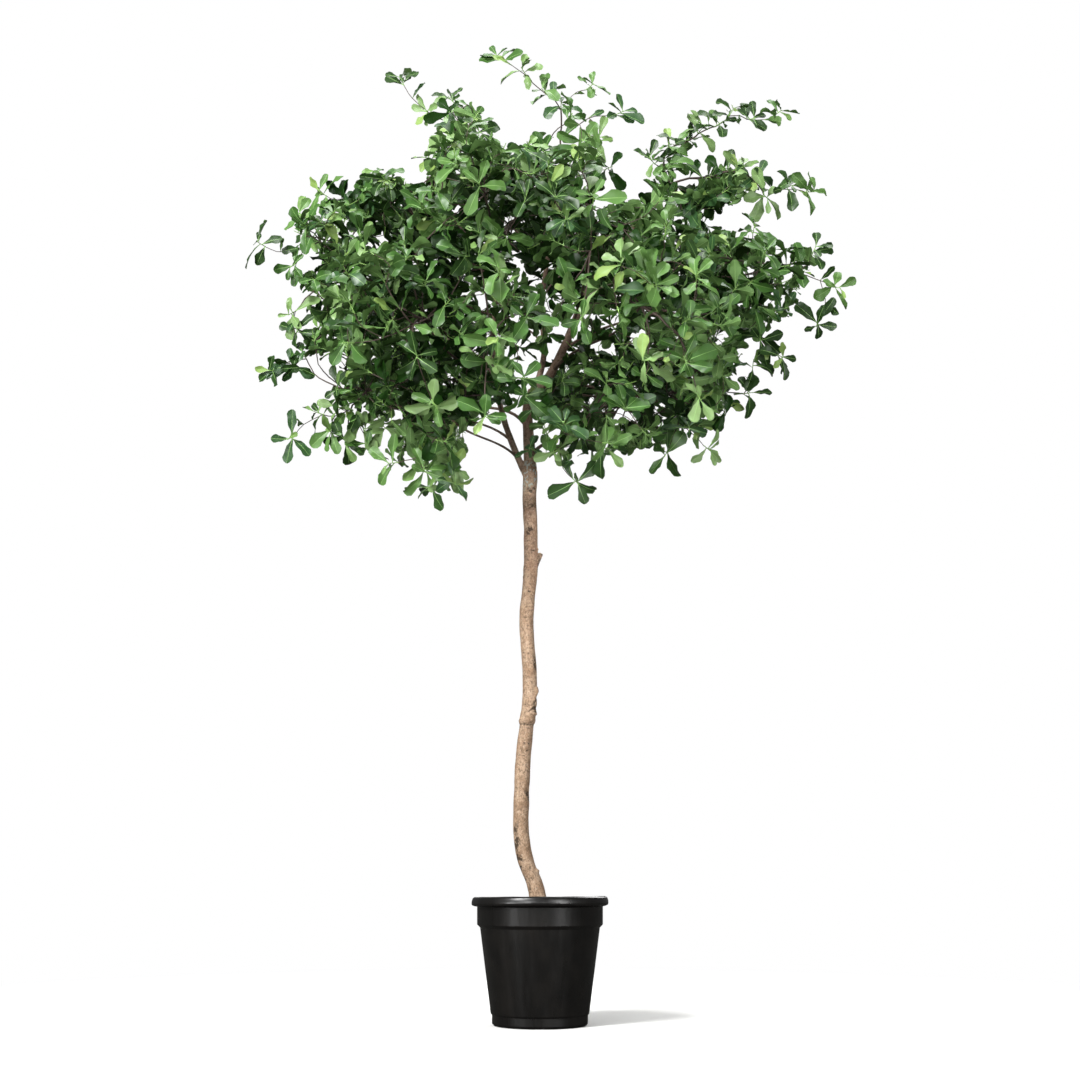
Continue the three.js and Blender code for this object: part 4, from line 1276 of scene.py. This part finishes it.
def leafArrays(leaves, random):
    # All leaves of a mass at once: first their spines, then the rows of points across them.
    count = len(leaves)
    root, along, top = (np.array([leaf[key] for leaf in leaves]) for key in ("root", "along", "top"))
    young = np.array([leaf["young"] for leaf in leaves])
    spread = random.uniform(*leafShape["sizeSpread"], count) * np.where(young, leafShape["youngLength"], 1)
    length = leafRule["length"] * np.array([leaf["size"] for leaf in leaves]) * spread
    width = length * leafRule["width"] / leafRule["length"]
    width *= random.uniform(*leafShape["widthSpread"], count)
    roll = random.normal(0, leafShape["roll"], count)
    side = np.cross(top, along)
    top = np.cos(roll)[:, None] * top + np.sin(roll)[:, None] * side
    side = np.cross(top, along)
    arch = random.uniform(*leafShape["arch"], count) * np.where(young, leafShape["youngArch"], 1)
    fold = random.uniform(*leafShape["fold"], count)
    wave = random.uniform(*leafShape["wave"], count) * length / leafRule["length"]
    phases = random.uniform(0, 2 * math.pi, (count, 2))
    twist = random.normal(0, leafShape["twist"], count)
    rows = []
    for share, half in leafShape["outline"]:
        bent = arch * share
        forward = length * np.sin(bent) / arch
        down = length * (1 - np.cos(bent)) / arch
        spine = root + forward[:, None] * along - down[:, None] * top
        normal = np.cos(bent)[:, None] * top + np.sin(bent)[:, None] * along
        turned = twist * share
        across = np.cos(turned)[:, None] * side + np.sin(turned)[:, None] * normal
        normal = np.cos(turned)[:, None] * normal - np.sin(turned)[:, None] * side
        edge = np.maximum(half * width / 2, leafShape["leastHalf"])
        rib = np.minimum(np.interp(share, [0, 1], leafShape["ribWidth"]), leafShape["ribMost"] * edge)
        thick = np.interp(share, [0, 1], leafShape["thickness"])
        lifts = []
        for k in (0, 1):
            swing = phases[:, k] + leafShape["turns"] * share
            wide = edge * np.cos(fold) * (1 + leafShape["ripple"] * np.cos(swing))
            lifts.append((wide, edge * np.sin(fold) + wave * half * np.sin(swing)))
        left = spine + lifts[0][0][:, None] * across + lifts[0][1][:, None] * normal
        right = spine - lifts[1][0][:, None] * across + lifts[1][1][:, None] * normal
        ribLeft, ribRight = spine + rib[:, None] * across, spine - rib[:, None] * across
        rows.append(np.stack(
            [left, ribLeft, ribRight, right, ribRight - thick * normal, ribLeft - thick * normal], 1))
    return np.stack(rows, 1)


def makeLeaves(mass, leaves, materials, tones):
    random = np.random.default_rng(mass["seed"])
    points = leafArrays(leaves, random)
    stations = len(leafShape["outline"])
    ring = 6    # points round the blade: edge, rib, rib and edge above, and two under the rib
    pattern, kinds = [], []
    for row in range(stations - 1):
        for k in range(ring):
            a, b = row * ring + k, row * ring + (k + 1) % ring
            if k in (0, 1, 3):      # the same diagonal above and below, so that neither pokes through
                pattern += [[a, b, b + ring], [a, b + ring, a + ring]]
            else:
                pattern += [[a, b, a + ring], [b, b + ring, a + ring]]
            kinds += 2 * ["rib" if row == 0 or k in (1, 4) else "top" if k in (0, 2) else "under"]
    ends = [list(range(ring))[::-1], [(stations - 1) * ring + k for k in range(ring)]]
    faces, slots = [], []
    youngFirst = len(leafColours["top"])
    ribSlot = youngFirst + len(leafColours["young"])
    for i, leaf in enumerate(leaves):
        start = i * stations * ring
        topSlot = tones[leaf["spray"]]
        # A spray in painted shade keeps its dark top, has its rib in the same shade, gets the painted dark
        # underside, and gets no young colours.
        dark = topSlot >= leafColours["shadeFrom"]
        if not dark and random.random() < leafColours["youngChance"][leaf["young"]]:
            topSlot = youngFirst + int(random.random() < 0.5)
        slotOf = {"top": topSlot, "rib": topSlot if dark else ribSlot, "under": ribSlot + 1 + dark}
        faces += [[start + j for j in face] for face in pattern + ends]
        slots += [slotOf[kind] for kind in kinds] + [ribSlot, topSlot]
    piece = meshFromArrays(f"leaves_{mass['name']}", points.reshape(-1, 3), faces, materials, slots)
    smoothByAngle(piece, 55)
    keepPiece(piece, "leaves", f"foliage_{mass['name']}")
    return piece


def makeTwigs(mass, shoots, materials):
    random = np.random.default_rng(mass["seed"] + 1)
    woody = twigTubes(mass["nodes"], random)
    points, faces = joinTubes(woody + shoots)
    woodFaces = sum(len(tubeFaces) for _, tubeFaces in woody)
    slots = [0] * woodFaces + [1] * (len(faces) - woodFaces)
    piece = meshFromArrays(f"twigs_{mass['name']}", points, faces, materials, slots)
    smoothByAngle(piece, 60)
    keepPiece(piece, "limb_bark", f"foliage_{mass['name']}")
    return piece


def makeBoughs(boughs):
    # The boughs from the stem to each mass, with a collar where they leave it.
    tubes = []
    for rings in boughs.values():
        foot = rings[0]["centre"]
        for ring in rings:
            out = np.linalg.norm(ring["centre"] - foot)
            collar = math.exp(-(out / boughRule["collarReach"]) ** 2)
            ring["radius"] += boughRule["collar"] * rings[0]["radius"] * collar
        tubes.append(tube(rings, boughRule["sides"]))
    piece = meshFromArrays("boughsToMasses", *joinTubes(tubes), [barkMaterial("limbBark", bark["limb"])])
    points, normals = pointsOf(piece), normalsOf(piece)
    rise = 0.5 * noiseAt(points, 30) + 0.25 * noiseAt(points, 9, shift=5)
    setPoints(piece, points + normals * rise[:, None])
    setAttribute(piece, "dark", 0.4 * np.clip(noiseAt(points, 24, shift=9), 0, 1))
    setAttribute(piece, "limb", np.ones(len(points)))
    setAttribute(piece, "lichen", np.zeros(len(points)))
    smoothByAngle(piece, 60)
    keepPiece(piece, "limb_bark", *boughs)


def growLimbs():
    # The stem, the main boughs and the boughs to the masses, as pieces that the leaves keep clear of.
    limbs = dict(trunk=stemRings())
    for name, row in mainBoughs.items():
        limbs[name] = boughRings(row, 2 * (len(row["route"]) - 1))
    boughs = {}
    for name, mass in masses.items():
        end, mass["heading"], rings = leadIn(mass, limbs)
        mass["start"] = end - twigRule["sunk"] * mass["heading"]
        if rings:
            boughs[f"bough_{name}"] = rings
    makeBoughs(boughs)
    return piecesOf([*limbs.values(), *boughs.values()])


def growLeaves(mass, pieces, cover):
    # Leaves at each node of the twigs, and a green shoot under each rosette.
    random = seededRandom(mass["seed"] + growthSeeds["leaves"])
    toneRandom = np.random.default_rng(mass["seed"] + 2)
    leaves, shoots, tones = [], [], []
    for spray, node in enumerate(mass["nodes"][2:]):
        tones.append(toneOf(next(cover), toneRandom))
        kinds = ("onSprig", "atSprig") if node["faced"] else ("atMiddle", "atEnd")
        count = leafRule[kinds[node["leafy"]]]
        axis = leafAxis(node, mass, random)
        node["shoot"] = unit(node["heading"] + axis) if node["leafy"] else node["heading"]
        reach = leafRule["step"] * (count - 1) if node["leafy"] else 0
        node["tip"] = node["place"] + reach * node["shoot"]
        if node["leafy"]:
            shoots.append(shootTube(node, reach))
        addLeaves(node, axis, count, mass, pieces, random, leaves, spray)
    return leaves, shoots, tones


def makeCrown():
    prepareMasses()
    pieces = growLimbs()
    leafSet = leafMaterials()
    twigSet = [
        newMaterial("twigBark", "#4a3d36", Roughness=0.75, IOR=1.45)[0],
        newMaterial("greenShoot", leafColours["shoot"], Roughness=0.5, IOR=1.45)[0],
    ]
    for mass in masses.values():
        mass["nodes"] = growTwigs(mass, placeBuds(mass, pieces), pieces)
        thickenTwigs(mass["nodes"])
    places = [node["place"] for mass in masses.values() for node in mass["nodes"][2:]]
    cover = iter(coverOf(np.array(places)))
    leafCount = triangles = 0
    for mass in masses.values():
        leaves, shoots, tones = growLeaves(mass, pieces, cover)
        for piece in (makeLeaves(mass, leaves, leafSet, tones), makeTwigs(mass, shoots, twigSet)):
            triangles += sum(len(p.vertices) - 2 for p in piece.data.polygons)
        leafCount += len(leaves)
    print("crown", leafCount, "leaves", triangles, "triangles")


# The setting: a pale floor that fades into a white studio, and soft light from above and both sides

setting = dict(
    floorRadius=9,
    floorFade=(0.9, 2.4),
    floorPaint="#f4f4f2",
    floorBounce="#40403e",
    skyLight=0.13,
    # Name, place, aim, size, power and spread in degrees.
    lights=[
        ("key", (-4.6, -5.6, 6.2), (0, 0, 1.5), (2.2, 2.2), 1080, 180),
        ("overhead", (0.4, 0.6, 9), (0, 0, 1.9), (4.5, 4.5), 520, 180),
        ("leftStrip", (-3.0, -2.7, 0.46), (0, 0, 0.46), (0.22, 0.86), 44, 180),
        ("rightStrip", (2.5, -3.2, 0.46), (0, 0, 0.46), (0.22, 0.86), 40, 180),
        ("frontStrip", (0.7, -5.4, 0.46), (0, 0, 0.46), (0.14, 0.86), 14, 180),
        ("frontFill", (4.6, -6.6, 3), (0, 0, 1.5), (3, 3), 220, 180),
        ("stemFill", (1.2, -4.6, 1.2), (0, 0, 1.28), (0.3, 0.3), 1.1, 18),
        ("lowFill", (-2.6, -6.4, 1.5), (0, 0, 1.5), (1.6, 1.2), 150, 180),
        ("backFill", (2.5, 6.4, 5), (0, 0, 1.8), (4, 4), 320, 180),
    ],
)


def makeFloor():
    # A painted studio floor: matt and almost white, lost in the light further out. What light it sends
    # back up is less than what the camera sees, as on a floor that is bright only round the plant.
    deselectAll()
    bpy.ops.mesh.primitive_circle_add(vertices=96, radius=setting["floorRadius"], fill_type="NGON")
    floor = bpy.context.object
    floor.name = "floor"
    material, tree, shader = newMaterial(
        "studioPaint", setting["floorPaint"], Roughness=0.9, Specular_IOR_Level=0)
    seen = addNode(tree, "ShaderNodeLightPath").outputs["Is Camera Ray"]
    paint = layColours(tree, setting["floorBounce"], [(seen, 0, 1, 1, setting["floorPaint"])])
    tree.links.new(paint, shader.inputs["Base Color"])
    place = addNode(tree, "ShaderNodeTexCoord").outputs["Object"]
    reach = addNode(tree, "ShaderNodeVectorMath", {"operation": "LENGTH"}, {0: place})
    near, far = setting["floorFade"]
    fade = addNode(
        tree, "ShaderNodeMapRange",
        {"interpolation_type": "SMOOTHSTEP", "From Min": near, "From Max": far},
        {"Value": reach.outputs["Value"]},
    )
    share = addNode(tree, "ShaderNodeMath", {"operation": "MULTIPLY"}, {0: fade.outputs[0], 1: seen})
    glow = addNode(tree, "ShaderNodeEmission", {"Color": (1, 1, 1, 1), "Strength": 1})
    mix = addNode(
        tree, "ShaderNodeMixShader", None,
        {0: share.outputs[0], 1: shader.outputs[0], 2: glow.outputs[0]},
    )
    tree.links.new(mix.outputs[0], tree.nodes["Material Output"].inputs["Surface"])
    floor.data.materials.append(material)


def makeSky():
    # White to the camera, and a weak even light for the rest.
    world = bpy.data.worlds.new("studio")
    world.use_nodes = True
    bpy.context.scene.world = world
    tree = world.node_tree
    seen = addNode(tree, "ShaderNodeLightPath").outputs["Is Camera Ray"]
    strength = addNode(
        tree, "ShaderNodeMapRange", {"To Min": setting["skyLight"], "To Max": 1}, {"Value": seen})
    sky = tree.nodes["Background"]
    sky.inputs["Color"].default_value = (1, 1, 1, 1)
    tree.links.new(strength.outputs[0], sky.inputs["Strength"])
    bpy.context.scene.view_settings.view_transform = "Standard"


def makeLights():
    for name, place, aim, size, power, spread in setting["lights"]:
        way = Vector(aim) - Vector(place)
        deselectAll()
        bpy.ops.object.light_add(
            type="AREA", location=place, rotation=way.to_track_quat("-Z", "Y").to_euler())
        light = bpy.context.object
        light.name = name
        light.data.shape = "RECTANGLE"
        light.data.size, light.data.size_y = size
        light.data.energy = power
        light.data.spread = math.radians(spread)
    print("setting", len(setting["lights"]), "lights")


makeCamera()
makePot()
makeSoil()
makeStem()
makeCrown()
makeFloor()
makeSky()
makeLights()
